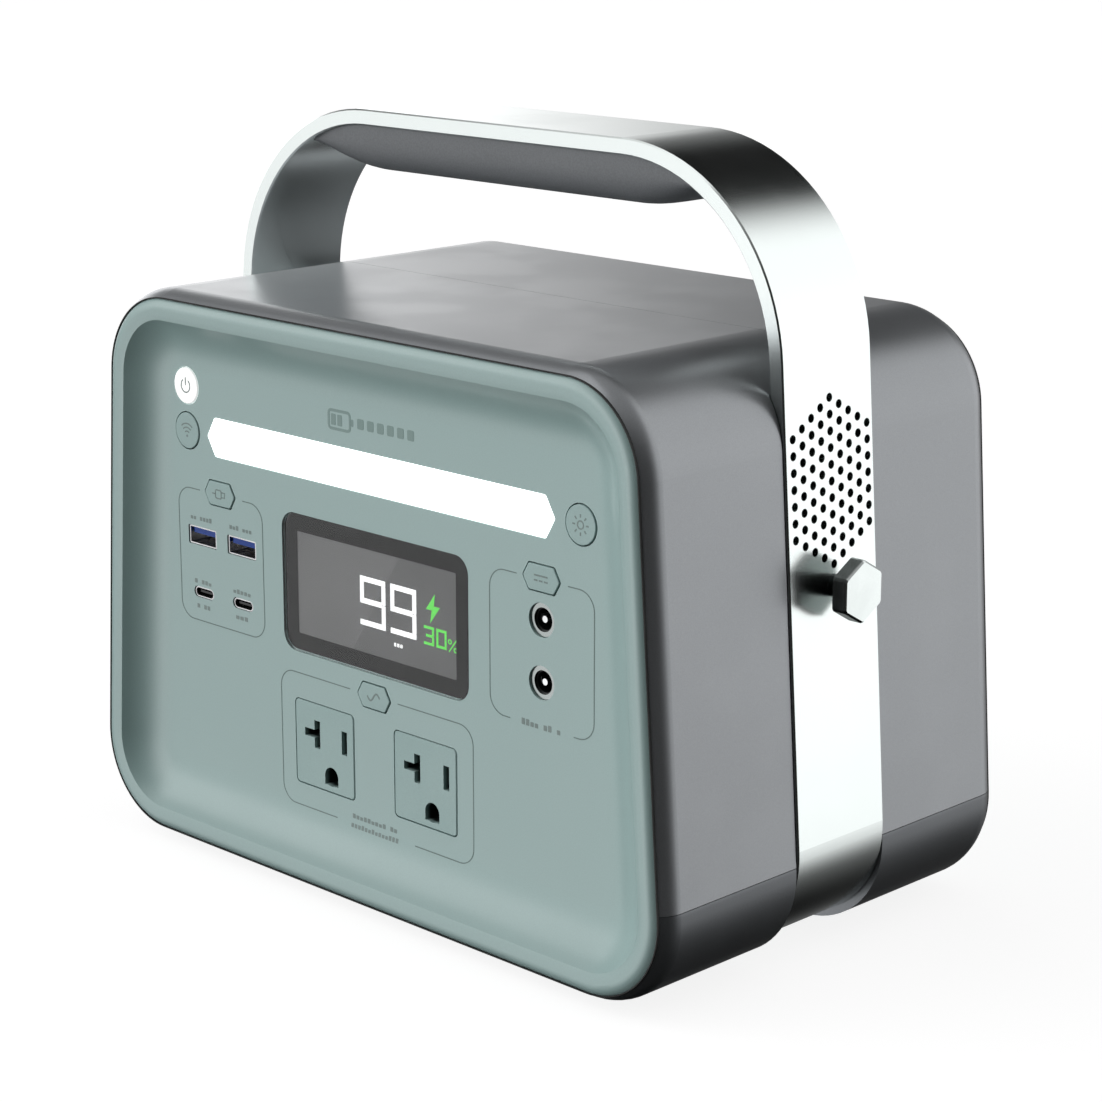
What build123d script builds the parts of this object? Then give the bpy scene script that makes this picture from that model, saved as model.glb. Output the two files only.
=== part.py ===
from build123d import *
import os
from math import atan, cos, degrees, hypot, sin, sqrt

# Portable power station, millimetres, +Z up, front panel towards -Y.
# Origin: middle of the footprint, on the surface the rubber feet stand on.

# ---- driving dimensions ------------------------------------------------------
FOOT_H = 2.0            # feet below the base
TAPER = 0.070           # each side leans in by this much per unit of height
LEAN = sqrt(1 + TAPER**2)
LEAN_DEG = degrees(atan(TAPER))
BODY_HALF_W = 128.98    # half width at the bottom of the base
BODY_TOP = 183.9
BODY_HALF_D = 77.64
BODY_R = 30.0           # corners, seen from the front
EDGE_R = 9.0            # front and rear edges
SEAM_IN = 2.64          # the wall, and how far inside the sides the covers meet it
SEAM_Y = 75.0
SPLIT_Z = 35.0          # base tray below, shells above
SPLIT_Y = 3.6           # front shell before, rear shell behind
GAP = 0.1               # half of a seam between fixed shells

RIM_W = 7.5             # rim of the dished front and rear covers
RIM_H = 1.6
DISH_W = 23.5           # seam to the edge of the flat floor
DISH_D = 7.1            # seam plane to the floor
DISH_R = 20.7
COVER_T = 2.4
FLOOR_Y = -SEAM_Y + DISH_D

STRAP_W = 38.9
STRAP_T = 5.0
STRAP_HALF_W = 129.8    # outer face of the legs at the bottom
STRAP_TOP = 238.1
STRAP_LOW = 3.5
STRAP_R_TOP = 62.0
STRAP_R_LOW = 34.0
STRAP_END_X = 70.0
STRAP_FIT = 0.25
STRAP_EDGE = 0.45       # chamfer along its long edges
BACKING_T = 2.4
BACKING_HALF_W = 27.0
VENT = (0.3, 144.45)    # middle of the perforations, Y and Z
VENT_COUNTS = (7, 8, 9, 10, 11, 10, 9, 8, 7)
VENT_PITCH_Y = 4.09
VENT_PITCH_Z = 4.79
VENT_HOLE_D = 2.6
MESH_INSET = 6.85       # dust mesh, below the strap's outer face
PEG = (0.2, 114.5)      # axis of the carrying-strap pegs, Y and Z
PEG_HEX_R = 9.5
PEG_OUT_X = 132.7
PEG_HEAD_T = 4.8
PEG_NECK_D = 6.6
GRIP_Z = 217.8
GRIP_HALF_L = 54.0
GRIP_TIP_X = 83.0

# panel layout, X and Z on the dish floor
BUTTON_D = 11.6
ROUND_BUTTONS = {"power_button": (-87.0, 152.7), "wireless_button": (-87.0, 138.2),
                 "lamp_button": (87.2, 138.2)}
HEX_BUTTONS = {"usb_button": (-71.6, 119.9), "dc_button": (71.7, 119.9), "ac_button": (0.0, 69.0)}
HEX_HALF = (7.3, 5.0, 3.85)      # to the tips, to the corners, half height
BUTTON_TRAVEL = 0.8
BUTTON_FIT = 0.4
BUTTON_PROUD = 0.35
BAR_HALF = (77.0, 73.3, 6.25)
BAR_Z = 138.05
DISPLAY = (0.0, 98.2, 83.2, 44.0, 5.5)   # x, z, width, height, corner radius
LCD = (0.0, 98.15, 71.0, 32.5)
DIGIT_X = (-6.8, 6.8)
DIGIT_W, DIGIT_H, DIGIT_Z, STROKE = 11.3, 15.3, 90.5, 2.0
USB_A = ((-81.2, 104.4), (-61.6, 104.4))
USB_C = ((-81.3, 85.8), (-61.7, 85.8))
DC_JACKS = ((71.65, 107.7), (71.65, 89.2))
OUTLETS = {"outlet_left": (-23.3, 47.1), "outlet_right": (22.5, 47.1)}
OUTLET_W = 27.2
OUTLET_DEPTH = 26.0
OUTLET_PROUD = 0.15
INPUT = (0.0, 60.0)

BOARD_Y = -57.0         # front face of the circuit board behind the panel
BOARD_T = 1.6
BOARD_POSTS = ((-47, 79.5), (47, 79.5), (-47, 152.5), (47, 152.5), (-91.5, 92), (91.5, 92))

CELL_D, CELL_L = 32.2, 70.0
CELL_PITCH = 34.0
CELL_Y0 = -28.0
CELL_Z0 = 31.0
HOLDER_T = 8.0
INVERTER_Z = 96.0
FAN_W, FAN_T, FAN_BORE = 50.0, 15.0, 46.0
FAN_C = (0.3, 145.5)
FAN_HOLES = [(dy, dz) for dy in (-20, 20) for dz in (-20, 20)]
FEET = [(x, y) for x in (-85, 85) for y in (-55, 55)]
BASE_SCREWS = [(x, y) for x in (-98, 98) for y in (-58, 58)]
STRAP_SCREWS = [(x, y) for x in (-84, 84) for y in (-10, 10)]
COVER_SCREWS = [(-92, 62), (92, 62), (-90, 138), (90, 138), (-60, 34), (60, 34), (-50, 151), (50, 151)]


# ---- helpers -----------------------------------------------------------------
def box(x0, x1, y0, y1, z0, z1):
    return Pos((x0 + x1) / 2, (y0 + y1) / 2, (z0 + z1) / 2) * Box(x1 - x0, y1 - y0, z1 - z0)


def prism(sketch, y0, y1):
    """Extrude a sketch drawn in X and Z from y0 back to y1."""
    return Pos(0, y1, 0) * extrude(Plane.XZ * sketch, amount=y1 - y0)


def rod_y(x, z, d, y0, y1):
    return Pos(x, (y0 + y1) / 2, z) * Rot(90, 0, 0) * Cylinder(d / 2, y1 - y0)


def rod_z(x, y, d, z0, z1):
    return Pos(x, y, (z0 + z1) / 2) * Cylinder(d / 2, z1 - z0)


def rod_x(y, z, d, x0, x1):
    return Pos((x0 + x1) / 2, y, z) * Rot(0, 90, 0) * Cylinder(d / 2, x1 - x0)


def rect(x, z, w, h, r=0.0):
    shape = RectangleRounded(w, h, r) if r else Rectangle(w, h)
    return Pos(x, z) * shape


def tapered(half_w, z0, z1, r0, r1):
    """Outline with leaning sides, radius r0 at its lower and r1 at its upper corners."""
    def x_at(z):
        return half_w - TAPER * (z - FOOT_H)
    points = [(-x_at(z0), z0), (x_at(z0), z0), (x_at(z1), z1), (-x_at(z1), z1)]
    face = Sketch() + make_face(Polyline(*points, close=True))
    face = fillet(face.vertices().sort_by(Axis.Y)[:2], r0)
    return fillet(face.vertices().sort_by(Axis.Y)[-2:], r1)


def body_outline(inset):
    return tapered(BODY_HALF_W - inset * LEAN, FOOT_H + inset, BODY_TOP - inset,
                   BODY_R - inset, BODY_R - inset)


def strap_outline(inset):
    return tapered(STRAP_HALF_W - inset * LEAN, STRAP_LOW + inset, STRAP_TOP - inset,
                   STRAP_R_LOW - inset, STRAP_R_TOP - inset)


def hex_bar(half, grow=0.0):
    """Long hexagon with a tip at each end; half is (tip, corner, half height)."""
    tip, corner, high = half
    tip, corner, high = tip + 1.2 * grow, corner + 0.6 * grow, high + grow
    points = [(-tip, 0), (-corner, -high), (corner, -high), (tip, 0), (corner, high), (-corner, high)]
    face = Sketch() + make_face(Polyline(*points, close=True))
    return fillet(face.vertices(), 1.0)


def stadium(w, h):
    return RectangleRounded(w, h, h / 2 - 0.01)


def on_leg(side, y, z, inset, solid):
    """Put a solid whose outward axis is +X on a leg, inset from the strap's outer face."""
    x = STRAP_HALF_W - TAPER * (z - FOOT_H) - inset * LEAN
    solid = Rot(0, -LEAN_DEG, 0) * solid
    if side < 0:
        solid = mirror(solid, about=Plane.YZ)
    return Pos(side * x, y, z) * solid


def on_fan(solid):
    """Put a solid drawn around the fan's centre in its place behind the right leg."""
    return on_leg(1, *FAN_C, BACKING_T + STRAP_T + STRAP_FIT + 1.2 + FAN_T / 2, solid)


def grouped(*solids):
    """One node made of several separate solids."""
    return Compound(children=[s for part in solids for s in part.solids()])


# ---- covers ------------------------------------------------------------------
def cover_profile():
    """Rim and dish in section: X runs inward from the seam, Y forward of it."""
    centre_w = DISH_R - DISH_D
    rim_h = centre_w - sqrt(DISH_R**2 - (DISH_W - RIM_W)**2)
    back_r = DISH_R + COVER_T
    back_x = 9.0
    back_h = centre_w - sqrt(back_r**2 - (DISH_W - back_x)**2)
    front_mid = (DISH_W - DISH_R * 0.4, centre_w - DISH_R * sqrt(1 - 0.4**2))
    back_mid = (DISH_W - back_r * 0.3, centre_w - back_r * sqrt(1 - 0.3**2))
    crest = ThreePointArc((0.12, -0.1), (1.3, 1.02), (3.5, RIM_H))
    crest += ThreePointArc((3.5, RIM_H), (5.3, 1.47), (RIM_W - 0.6, 1.12))
    lip = Line((RIM_W - 0.6, 1.12), (RIM_W, rim_h))
    dish = ThreePointArc((RIM_W, rim_h), front_mid, (DISH_W, -DISH_D))
    floor = Polyline((DISH_W, -DISH_D), (DISH_W + 1, -DISH_D), (DISH_W + 1, -DISH_D - COVER_T),
                     (DISH_W, -DISH_D - COVER_T))
    back = ThreePointArc((DISH_W, -DISH_D - COVER_T), back_mid, (back_x, back_h))
    skirt = Polyline((back_x, back_h), (2.4, back_h + 0.4), (2.4, -12), (0.12, -12), (0.12, -0.1))
    return make_face(crest + lip + dish + floor + back + skirt)


def cover_blank():
    """Dished front cover without its holes."""
    seam = Pos(0, -SEAM_Y, 0) * (Plane.XZ * body_outline(SEAM_IN))
    path = seam.wires()[0]
    start, tangent = path.position_at(0), path.tangent_at(0)
    inward = tangent.cross(Vector(0, 1, 0))
    if inward.dot(Vector(0, -SEAM_Y, 90) - start) < 0:
        inward = inward * -1
    plane = Plane(origin=start, x_dir=inward, z_dir=inward.cross(Vector(0, -1, 0)))
    ring = sweep(plane * cover_profile(), path=path)
    floor = prism(body_outline(SEAM_IN + DISH_W - 0.2), FLOOR_Y, FLOOR_Y + COVER_T)
    return ring + floor


def make_front_bezel(blank):
    bezel = blank
    back = FLOOR_Y + COVER_T
    for x, z in BOARD_POSTS:
        bezel += rod_y(x, z, 5.0, back - 0.5, BOARD_Y)
    for x, z in BOARD_POSTS:
        bezel -= rod_y(x, z, 2.2, back + 1, BOARD_Y + 1)
    y0, y1 = FLOOR_Y - 5, back + 1
    holes = [Pos(x, z) * Circle(BUTTON_D / 2 + BUTTON_FIT) for x, z in ROUND_BUTTONS.values()]
    holes += [Pos(x, z) * hex_bar(HEX_HALF, BUTTON_FIT) for x, z in HEX_BUTTONS.values()]
    holes += [Pos(0, BAR_Z) * hex_bar(BAR_HALF, 0.1)]
    holes += [rect(x, z, 14.1, 6.2, 0.6) for x, z in USB_A]
    holes += [Pos(x, z) * stadium(10.0, 3.6) for x, z in USB_C]
    holes += [Pos(x, z) * Circle(5.1) for x, z in DC_JACKS]
    holes += [rect(x, z, OUTLET_W + 0.7, OUTLET_W + 0.7, 1.85) for x, z in OUTLETS.values()]
    holes += [rect(DISPLAY[0], DISPLAY[1], DISPLAY[2] - 4, DISPLAY[3] - 4, DISPLAY[4] - 2)]
    for hole in holes:
        bezel -= prism(hole, y0, y1)
    x, z, w, h, r = DISPLAY
    return bezel - prism(rect(x, z, w + 0.2, h + 0.2, r + 0.1), y0, FLOOR_Y + 1.4)


def make_rear_cover(blank):
    cover = mirror(blank, about=Plane.XZ)
    face = -FLOOR_Y
    x, z = INPUT
    for side in (-1, 1):
        ear = prism(rect(side * 16.2, z + 16, 2.4, 6.0, 0.8), face - 1, face + 5)
        cover += ear
    cover -= prism(Pos(x, z) * Circle(5.2), face - 5, face + 6)
    cover -= rod_x(face + 2.6, z + 16, 1.62, -20, 20)
    for sx, sz in COVER_SCREWS:
        cover -= rod_y(sx, sz, 3.4, face - 5, face + 5)
    return cover


# ---- outer shells and strap ----------------------------------------------------
def shell_blank():
    """Whole skin: outer body less its inside, thickened behind the strap's channel."""
    outer = prism(body_outline(0), -BODY_HALF_D, BODY_HALF_D)
    ends = [e for e in outer.edges() if abs(abs(e.center().Y) - BODY_HALF_D) < 0.01]
    outer = fillet(ends, EDGE_R)
    skin = outer - prism(body_outline(SEAM_IN), -90, 90)
    behind = BACKING_T + STRAP_T + STRAP_FIT
    backing = outer & box(-200, 200, -BACKING_HALF_W, BACKING_HALF_W, 0, 200)
    backing -= prism(strap_outline(behind), -90, 90)
    backing -= box(-STRAP_END_X + 4, STRAP_END_X - 4, -90, 90, -5, 40)
    channel = box(-200, 200, -STRAP_W / 2 - STRAP_FIT, STRAP_W / 2 + STRAP_FIT, -5, 300)
    channel -= prism(strap_outline(STRAP_T + STRAP_FIT), -90, 90)
    channel -= box(-STRAP_END_X + 0.3, STRAP_END_X - 0.3, -90, 90, -5, 40)
    skin = (skin + backing) - channel
    for side in (-1, 1):
        skin -= on_leg(side, *VENT, MESH_INSET, Box(30, 34, 50))
    skin -= rod_x(*PEG, 6.2, -200, 200)
    for dy, dz in FAN_HOLES:
        skin += on_fan(Pos(FAN_T / 2 + 0.65, dy, dz) * Rot(0, 90, 0) * Cylinder(3.2, 1.2))
        skin -= on_fan(Pos(FAN_T / 2 + 0.75, dy, dz) * Rot(0, 90, 0) * Cylinder(1.45, 3.2))
    return skin


def lug_x(side, x0, y0, y1, z0, z1):
    """Block from x0 out to the leaning side wall."""
    wall = prism(body_outline(1.0), y0, y1)
    far = box(x0, 200, y0, y1, z0, z1) if side > 0 else box(-200, -x0, y0, y1, z0, z1)
    return wall & far


def make_shells(skin):
    front = skin & box(-200, 200, -90, SPLIT_Y - GAP, SPLIT_Z + GAP, 200)
    rear = skin & box(-200, 200, SPLIT_Y + GAP, 90, SPLIT_Z + GAP, 200)
    base = skin & box(-200, 200, -90, 90, -5, SPLIT_Z - GAP)
    y0, y1, y2 = 54.0, 62.6, 65.3
    for side in (-1, 1):
        front += lug_x(side, 92, -y1, -52, SPLIT_Z + GAP, 45)
        rear += lug_x(side, 92, 52, y1, SPLIT_Z + GAP, 45)
        rear += lug_x(side, 86, y0, y1, 56, 68) + lug_x(side, 84, y0, y1, 132, 144)
        rear += box(side * 50 - 6, side * 50 + 6, y0, y1, 145, BODY_TOP - 1)
        base += box(side * 60 - 6, side * 60 + 6, y0, y1, FOOT_H + 1, 40)
    for x, z in COVER_SCREWS:
        pad = box(x - 6, x + 6, y1 - 0.5, y2, z - 6, z + 6)
        if z < 45:
            base += pad
        else:
            rear += pad
    for x, y in BASE_SCREWS:
        base += rod_z(x, y, 10, FOOT_H + 1, SPLIT_Z - GAP) & prism(body_outline(0.5), -90, 90)
    for x, y in STRAP_SCREWS:
        base += rod_z(x, y, 8, STRAP_LOW + STRAP_T + STRAP_FIT, 13)
    for x in (-80, 80):
        for y in (CELL_Y0 - 3 + HOLDER_T / 2, CELL_Y0 + CELL_L + 3 - HOLDER_T / 2):
            base += box(x - 20, x + 20, y - 3, y + 3, FOOT_H + 1, 12.4)
    for x, y in BASE_SCREWS:
        base -= rod_z(x, y, 4.2, 0, 60) + rod_z(x, y, 8.6, 0, FOOT_H + 3.2)
        front -= rod_z(x, y, 3.85, 30, 44)
        rear -= rod_z(x, y, 3.85, 30, 44)
    for x, y in STRAP_SCREWS:
        base -= rod_z(x, y, 4.0, 0, 12)
    for x, y in FEET:
        base -= rod_z(x, y, 6.0, 0, 10) + rod_z(x, y, 16.4, 0, FOOT_H + 1.0)
    for sx, sz in COVER_SCREWS:
        rear -= rod_y(sx, sz, 3.0, y0 - 1, y2 + 1)
        base -= rod_y(sx, sz, 3.0, y0 - 1, y2 + 1)
    return front, rear, base


def make_strap():
    ring = prism(strap_outline(0) - strap_outline(STRAP_T), -STRAP_W / 2, STRAP_W / 2)
    ring -= box(-STRAP_END_X, STRAP_END_X, -50, 50, -5, 40)
    rims = [e for e in ring.edges() if abs(abs(e.center().Y) - STRAP_W / 2) < 0.01
            and e.length > STRAP_T + 1]
    ring = chamfer(rims, STRAP_EDGE)
    drills = []
    for side in (-1, 1):
        for i, count in enumerate(VENT_COUNTS):
            y = VENT[0] + (i - (len(VENT_COUNTS) - 1) / 2) * VENT_PITCH_Y
            for j in range(count):
                z = VENT[1] + (j - (count - 1) / 2) * VENT_PITCH_Z
                drills.append(on_leg(side, y, z, STRAP_T / 2, Rot(0, 90, 0) * Cylinder(VENT_HOLE_D / 2, 12)))
    drills.append(rod_x(*PEG, 6.4, -200, 200))
    for x, y in STRAP_SCREWS:
        drills.append(rod_z(x, y, 4.2, 0, 12))
        drills.append(Pos(x, y, STRAP_LOW) * Cone(3.7, 2.1, 1.8, align=(Align.CENTER, Align.CENTER, Align.MIN)))
    return ring - drills


def make_grip():
    """Pad that fills the underside of the strap's top, thinning into its bends."""
    tip_z = GRIP_Z + 8.2
    right = Spline((GRIP_HALF_L, GRIP_Z), (68, GRIP_Z + 1.9), (GRIP_TIP_X, tip_z),
                   tangents=((1, 0), (1, 0.7)))
    left = Spline((-GRIP_TIP_X, tip_z), (-68, GRIP_Z + 1.9), (-GRIP_HALF_L, GRIP_Z),
                  tangents=((1, -0.7), (1, 0)))
    flat = Line((-GRIP_HALF_L, GRIP_Z), (GRIP_HALF_L, GRIP_Z))
    over = Polyline((GRIP_TIP_X, tip_z), (GRIP_TIP_X, 250), (-GRIP_TIP_X, 250), (-GRIP_TIP_X, tip_z))
    side_view = make_face(left + flat + right + over) & strap_outline(STRAP_T + 0.05)
    half = STRAP_W / 2 - 1
    pad = prism(side_view, -half, half)
    section = Sketch() + make_face(Polyline((-half, GRIP_Z), (half, GRIP_Z), (half, 250), (-half, 250),
                                            close=True))
    section = fillet(section.vertices().sort_by(Axis.Y)[:2], 6.0)
    return pad & (Pos(-100, 0, 0) * extrude(Plane.YZ * section, amount=200))


def make_pegs():
    """Hexagon-headed pegs for a carrying strap, and the nuts inside that hold them."""
    pegs, nuts = [], []
    leg_x = STRAP_HALF_W - TAPER * (PEG[1] - FOOT_H)
    for side in (-1, 1):
        outer, head = PEG_OUT_X, PEG_OUT_X - PEG_HEAD_T
        hexagon = extrude(Plane.YZ * RegularPolygon(PEG_HEX_R, 6, rotation=90), amount=PEG_HEAD_T)
        hexagon = Pos(head, *PEG) * hexagon
        hexagon &= rod_x(*PEG, 2 * PEG_HEX_R - 0.6, head - 1, outer + 1)
        hexagon = chamfer(hexagon.faces().sort_by(Axis.X)[-1].edges(), 0.6)
        peg = hexagon + rod_x(*PEG, PEG_NECK_D, leg_x + 0.02, head + 0.5)
        peg += rod_x(*PEG, 5.8, leg_x - 15, leg_x + 1)
        nut = extrude(Plane.YZ * RegularPolygon(4.6, 6), amount=3.2)
        nut = Pos(leg_x - 11.8, *PEG) * nut - rod_x(*PEG, 5.84, 0, 200)
        pegs.append(peg if side > 0 else mirror(peg, about=Plane.YZ))
        nuts.append(nut if side > 0 else mirror(nut, about=Plane.YZ))
    return grouped(*pegs), grouped(*nuts)


def make_vent_meshes():
    plates = []
    for side in (-1, 1):
        plate = Box(0.8, 33.8, 49.8)
        for i in range(7):
            for j in range(10):
                spot = Pos(0, (i - 3) * 4.6, (j - 4.5) * 4.8)
                plate -= spot * Rot(0, 90, 0) * Cylinder(1.7, 3)
        plates.append(on_leg(side, *VENT, MESH_INSET, plate))
    return grouped(*plates)


# ---- panel pieces ----------------------------------------------------------------
def make_button(x, z, cap):
    """Cap in the panel, a flange that keeps it in, and a stem over its switch."""
    back = FLOOR_Y + COVER_T
    body = prism(Pos(x, z) * cap, FLOOR_Y - BUTTON_PROUD, back + 1.0)
    front = body.faces().sort_by(Axis.Y)[0]
    body = fillet(front.edges(), 0.35)
    size = cap.bounding_box().size
    body += prism(rect(x, z, size.X + 2.0, size.Y + 2.0, 2.0), back + 0.3, back + 1.4)
    return body + rod_y(x, z, 4.0, back + 1.2, back + 4.0)


def make_switches():
    solids = []
    top = FLOOR_Y + COVER_T + 4.0 + BUTTON_TRAVEL + 0.4
    for x, z in list(ROUND_BUTTONS.values()) + list(HEX_BUTTONS.values()):
        solids.append(rod_y(x, z, 3.4, top, top + 1.2) + box(x - 3, x + 3, top + 1.0, BOARD_Y, z - 3, z + 3))
    return grouped(*solids)


def make_light_bar():
    """Milky lens with a flange behind the panel, and the lamps on the board."""
    back = FLOOR_Y + COVER_T
    lens = prism(Pos(0, BAR_Z) * hex_bar(BAR_HALF), FLOOR_Y - 0.2, back + 1.4)
    lens = fillet(lens.faces().sort_by(Axis.Y)[0].edges(), 0.4)
    lens += prism(Pos(0, BAR_Z) * hex_bar((79.5, 75.8, 8.0)), back + 0.05, back + 1.4)
    lamps = [box(x - 1.6, x + 1.6, BOARD_Y - 1.0, BOARD_Y - 0.02, BAR_Z - 1.6, BAR_Z + 1.6)
             for x in range(-70, 71, 10)]
    return lens, grouped(*lamps)


def seven_segments(x, z, lit):
    """Bars of one digit whose lower left corner is at x, z."""
    w, h, s = DIGIT_W, DIGIT_H, STROKE
    half = h / 2
    bars = {"a": (x + s / 2, z + h - s, w - s, s), "g": (x + s / 2, z + half - s / 2, w - s, s),
            "d": (x + s / 2, z, w - s, s),
            "f": (x, z + half + 0.2, s, half - s - 0.4), "b": (x + w - s, z + half + 0.2, s, half - s - 0.4),
            "e": (x, z + s + 0.2, s, half - s - 0.4), "c": (x + w - s, z + s + 0.2, s, half - s - 0.4)}
    return [bars[k] for k in lit]


def make_display():
    x, z, w, h, r = DISPLAY
    glass = prism(rect(x, z, w, h, r), FLOOR_Y, FLOOR_Y + 1.35)
    glass = chamfer(glass.faces().sort_by(Axis.Y)[0].edges(), 0.25)
    lx, lz, lw, lh = LCD
    module = box(lx - lw / 2 - 2, lx + lw / 2 + 2, FLOOR_Y + 1.7, BOARD_Y - 0.02,
                 lz - lh / 2 - 2, lz + lh / 2 + 2)
    bars = [b for dx in DIGIT_X for b in seven_segments(dx, DIGIT_Z, "abcdfg")]
    segments = [box(bx, bx + bw, FLOOR_Y + 1.5, FLOOR_Y + 1.7, bz, bz + bh) for bx, bz, bw, bh in bars]
    return glass, module, grouped(*segments)


def make_usb():
    a_shells, a_tongues, c_shells, c_tongues = [], [], [], []
    y0, y1 = FLOOR_Y + 0.3, BOARD_Y - 0.02
    for x, z in USB_A:
        shell = prism(rect(x, z, 13.4, 5.9, 0.5), y0, y1) - prism(rect(x, z, 12.6, 5.1, 0.3), y0 - 1, y1 - 0.4)
        a_shells.append(shell)
        a_tongues.append(box(x - 5.5, x + 5.5, y0 + 0.8, y1 - 0.42, z + 0.45, z + 2.3))
    for x, z in USB_C:
        shell = prism(Pos(x, z) * stadium(9.4, 3.3), y0, y1)
        c_shells.append(shell - prism(Pos(x, z) * stadium(8.6, 2.6), y0 - 1, y1 - 0.4))
        c_tongues.append(box(x - 3.3, x + 3.3, y0 + 0.9, y1 - 0.42, z - 0.35, z + 0.35))
    return grouped(*a_shells), grouped(*a_tongues), grouped(*c_shells), grouped(*c_tongues)


def dc_jack(x, z, y, turn):
    """Barrel, chrome ring and centre pin; y is the panel face, turn is its outward sign."""
    def span(d, a, b):
        lo, hi = sorted((y - turn * a, y - turn * b))
        return rod_y(x, z, d, lo, hi)
    barrel = span(9.9, 1.6, 10.4) + span(13.0, 2.6, 10.4)
    barrel -= span(6.4, 1.0, 9.4)
    ring = span(9.9, 0.7, 1.55) - span(7.2, 0.5, 2.0)
    pin = span(2.0, 1.4, 9.35)
    return barrel, ring, pin


def make_dc_jacks():
    parts = [dc_jack(x, z, FLOOR_Y, -1) for x, z in DC_JACKS]
    barrels, rings, pins = zip(*parts)
    return grouped(*barrels), grouped(*rings), grouped(*pins)


def make_outlet(x, z):
    """Square socket face with its slots, on a body behind the panel."""
    back = FLOOR_Y + COVER_T
    front = FLOOR_Y - OUTLET_PROUD
    body = prism(rect(x, z, OUTLET_W, OUTLET_W, 1.5), front, back)
    body = chamfer(body.faces().sort_by(Axis.Y)[0].edges(), 0.25)
    body += prism(rect(x, z, 31.0, 31.0), back + 0.05, back + 1.8)
    body += prism(rect(x, z, 26.0, 26.0), back - 0.5, back + OUTLET_DEPTH)
    neutral, live, ground = outlet_slots(x, z)
    for slot in (neutral, live):
        body -= prism(slot, front - 1, front + 16)
    body -= prism(ground, front - 1, front + 12.5)
    for dx in (-3.4, 9.3):
        body -= prism(rect(x + dx, z + 3.75, 4.6, 10.0), front + 3, front + 18)
    return body


def outlet_slots(x, z):
    """T slot, plain slot and the flat-bottomed earth hole."""
    neutral = rect(x - 3.4, z + 3.75, 2.6, 9.0) + rect(x - 6.3, z + 3.75, 5.9, 2.6)
    live = rect(x + 9.3, z + 3.8, 2.5, 7.6)
    ground = (Pos(x + 3.0, z - 8.6) * Circle(3.1)) + rect(x + 3.0, z - 10.0, 6.2, 2.8)
    return neutral, live, ground


def make_contacts():
    leaves = []
    y0 = FLOOR_Y - OUTLET_PROUD + 3.6
    for x, z in OUTLETS.values():
        for dx in (-3.4, 9.3):
            for s in (-1, 1):
                cx = x + dx + s * 1.75
                leaves.append(box(cx - 0.4, cx + 0.4, y0, y0 + 14, z + 0.5, z + 7.0))
    return grouped(*leaves)


def make_front_board():
    sheet = rect(0, 117.2, 188, 80.6, 3) + rect(0, 72, 20, 15)
    board = prism(sheet, BOARD_Y, BOARD_Y + BOARD_T)
    for x, z in BOARD_POSTS:
        board -= rod_y(x, z, 2.6, BOARD_Y - 1, BOARD_Y + 3)
    screws = [rod_y(x, z, 2.1, BOARD_Y - 6, BOARD_Y + BOARD_T + 0.5)
              + rod_y(x, z, 4.6, BOARD_Y + BOARD_T + 0.02, BOARD_Y + BOARD_T + 1.7) for x, z in BOARD_POSTS]
    return board, grouped(*screws)


# ---- inside ----------------------------------------------------------------------
def cell_spots():
    return [((i - 2.5) * CELL_PITCH, CELL_Z0 + k * CELL_PITCH) for k in range(2) for i in range(6)]


def make_battery():
    y0, y1 = CELL_Y0, CELL_Y0 + CELL_L
    cells = [rod_y(x, z, CELL_D, y0, y1) + rod_y(x, z, 9, y0 - 1.2, y0 + 1) for x, z in cell_spots()]
    holders = []
    for ya, yb, seat in ((y0 - 3, y0 - 3 + HOLDER_T, (y0, y0 + 20)), (y1 + 3 - HOLDER_T, y1 + 3, (y1 - 20, y1))):
        plate = prism(rect(0, 48, 208, 71, 4), ya, yb)
        for x, z in cell_spots():
            plate -= rod_y(x, z, CELL_D + 0.2, *seat) + rod_y(x, z, 20, ya - 1, yb + 1)
        for x in (-80, 80):
            mid = (ya + yb) / 2
            plate += box(x - 5, x + 5, mid - 3, mid + 3, 83, INVERTER_Z - 0.02)
        holders.append(plate)
    for x in (-50, 50):
        holders[1] += rod_y(x, 48, 5, y1 + 2.9, y1 + 8)
    bars = []
    for i in range(3):
        x = (i - 1) * 2 * CELL_PITCH
        bars.append(box(x - 26, x + 26, y0 - 3.5, y0 - 3.1, CELL_Z0 - 6, CELL_Z0 + CELL_PITCH + 6))
        bars.append(box(x - 26, x + 26, y1 + 3.1, y1 + 3.5, CELL_Z0 - 6, CELL_Z0 + 6))
        bars.append(box(x - 26, x + 26, y1 + 3.1, y1 + 3.5, CELL_Z0 + CELL_PITCH - 6, CELL_Z0 + CELL_PITCH + 6))
    bms = prism(rect(0, 48, 130, 56, 2), y1 + 8.05, y1 + 9.65)
    return grouped(*cells), grouped(*holders), grouped(*bars), bms


def make_leads():
    """Two short fixed leads from the battery board up to the inverter board."""
    leads = []
    y = CELL_Y0 + CELL_L + 12.5
    for x in (-40, -30):
        path = Spline((x, y, 58), (x, y, 78), (x, y - 3, 90), (x, y - 3, 95.8))
        section = Plane(origin=path @ 0, z_dir=path % 0) * Circle(1.6)
        leads.append(sweep(section, path=path))
    return grouped(*leads)


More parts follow.
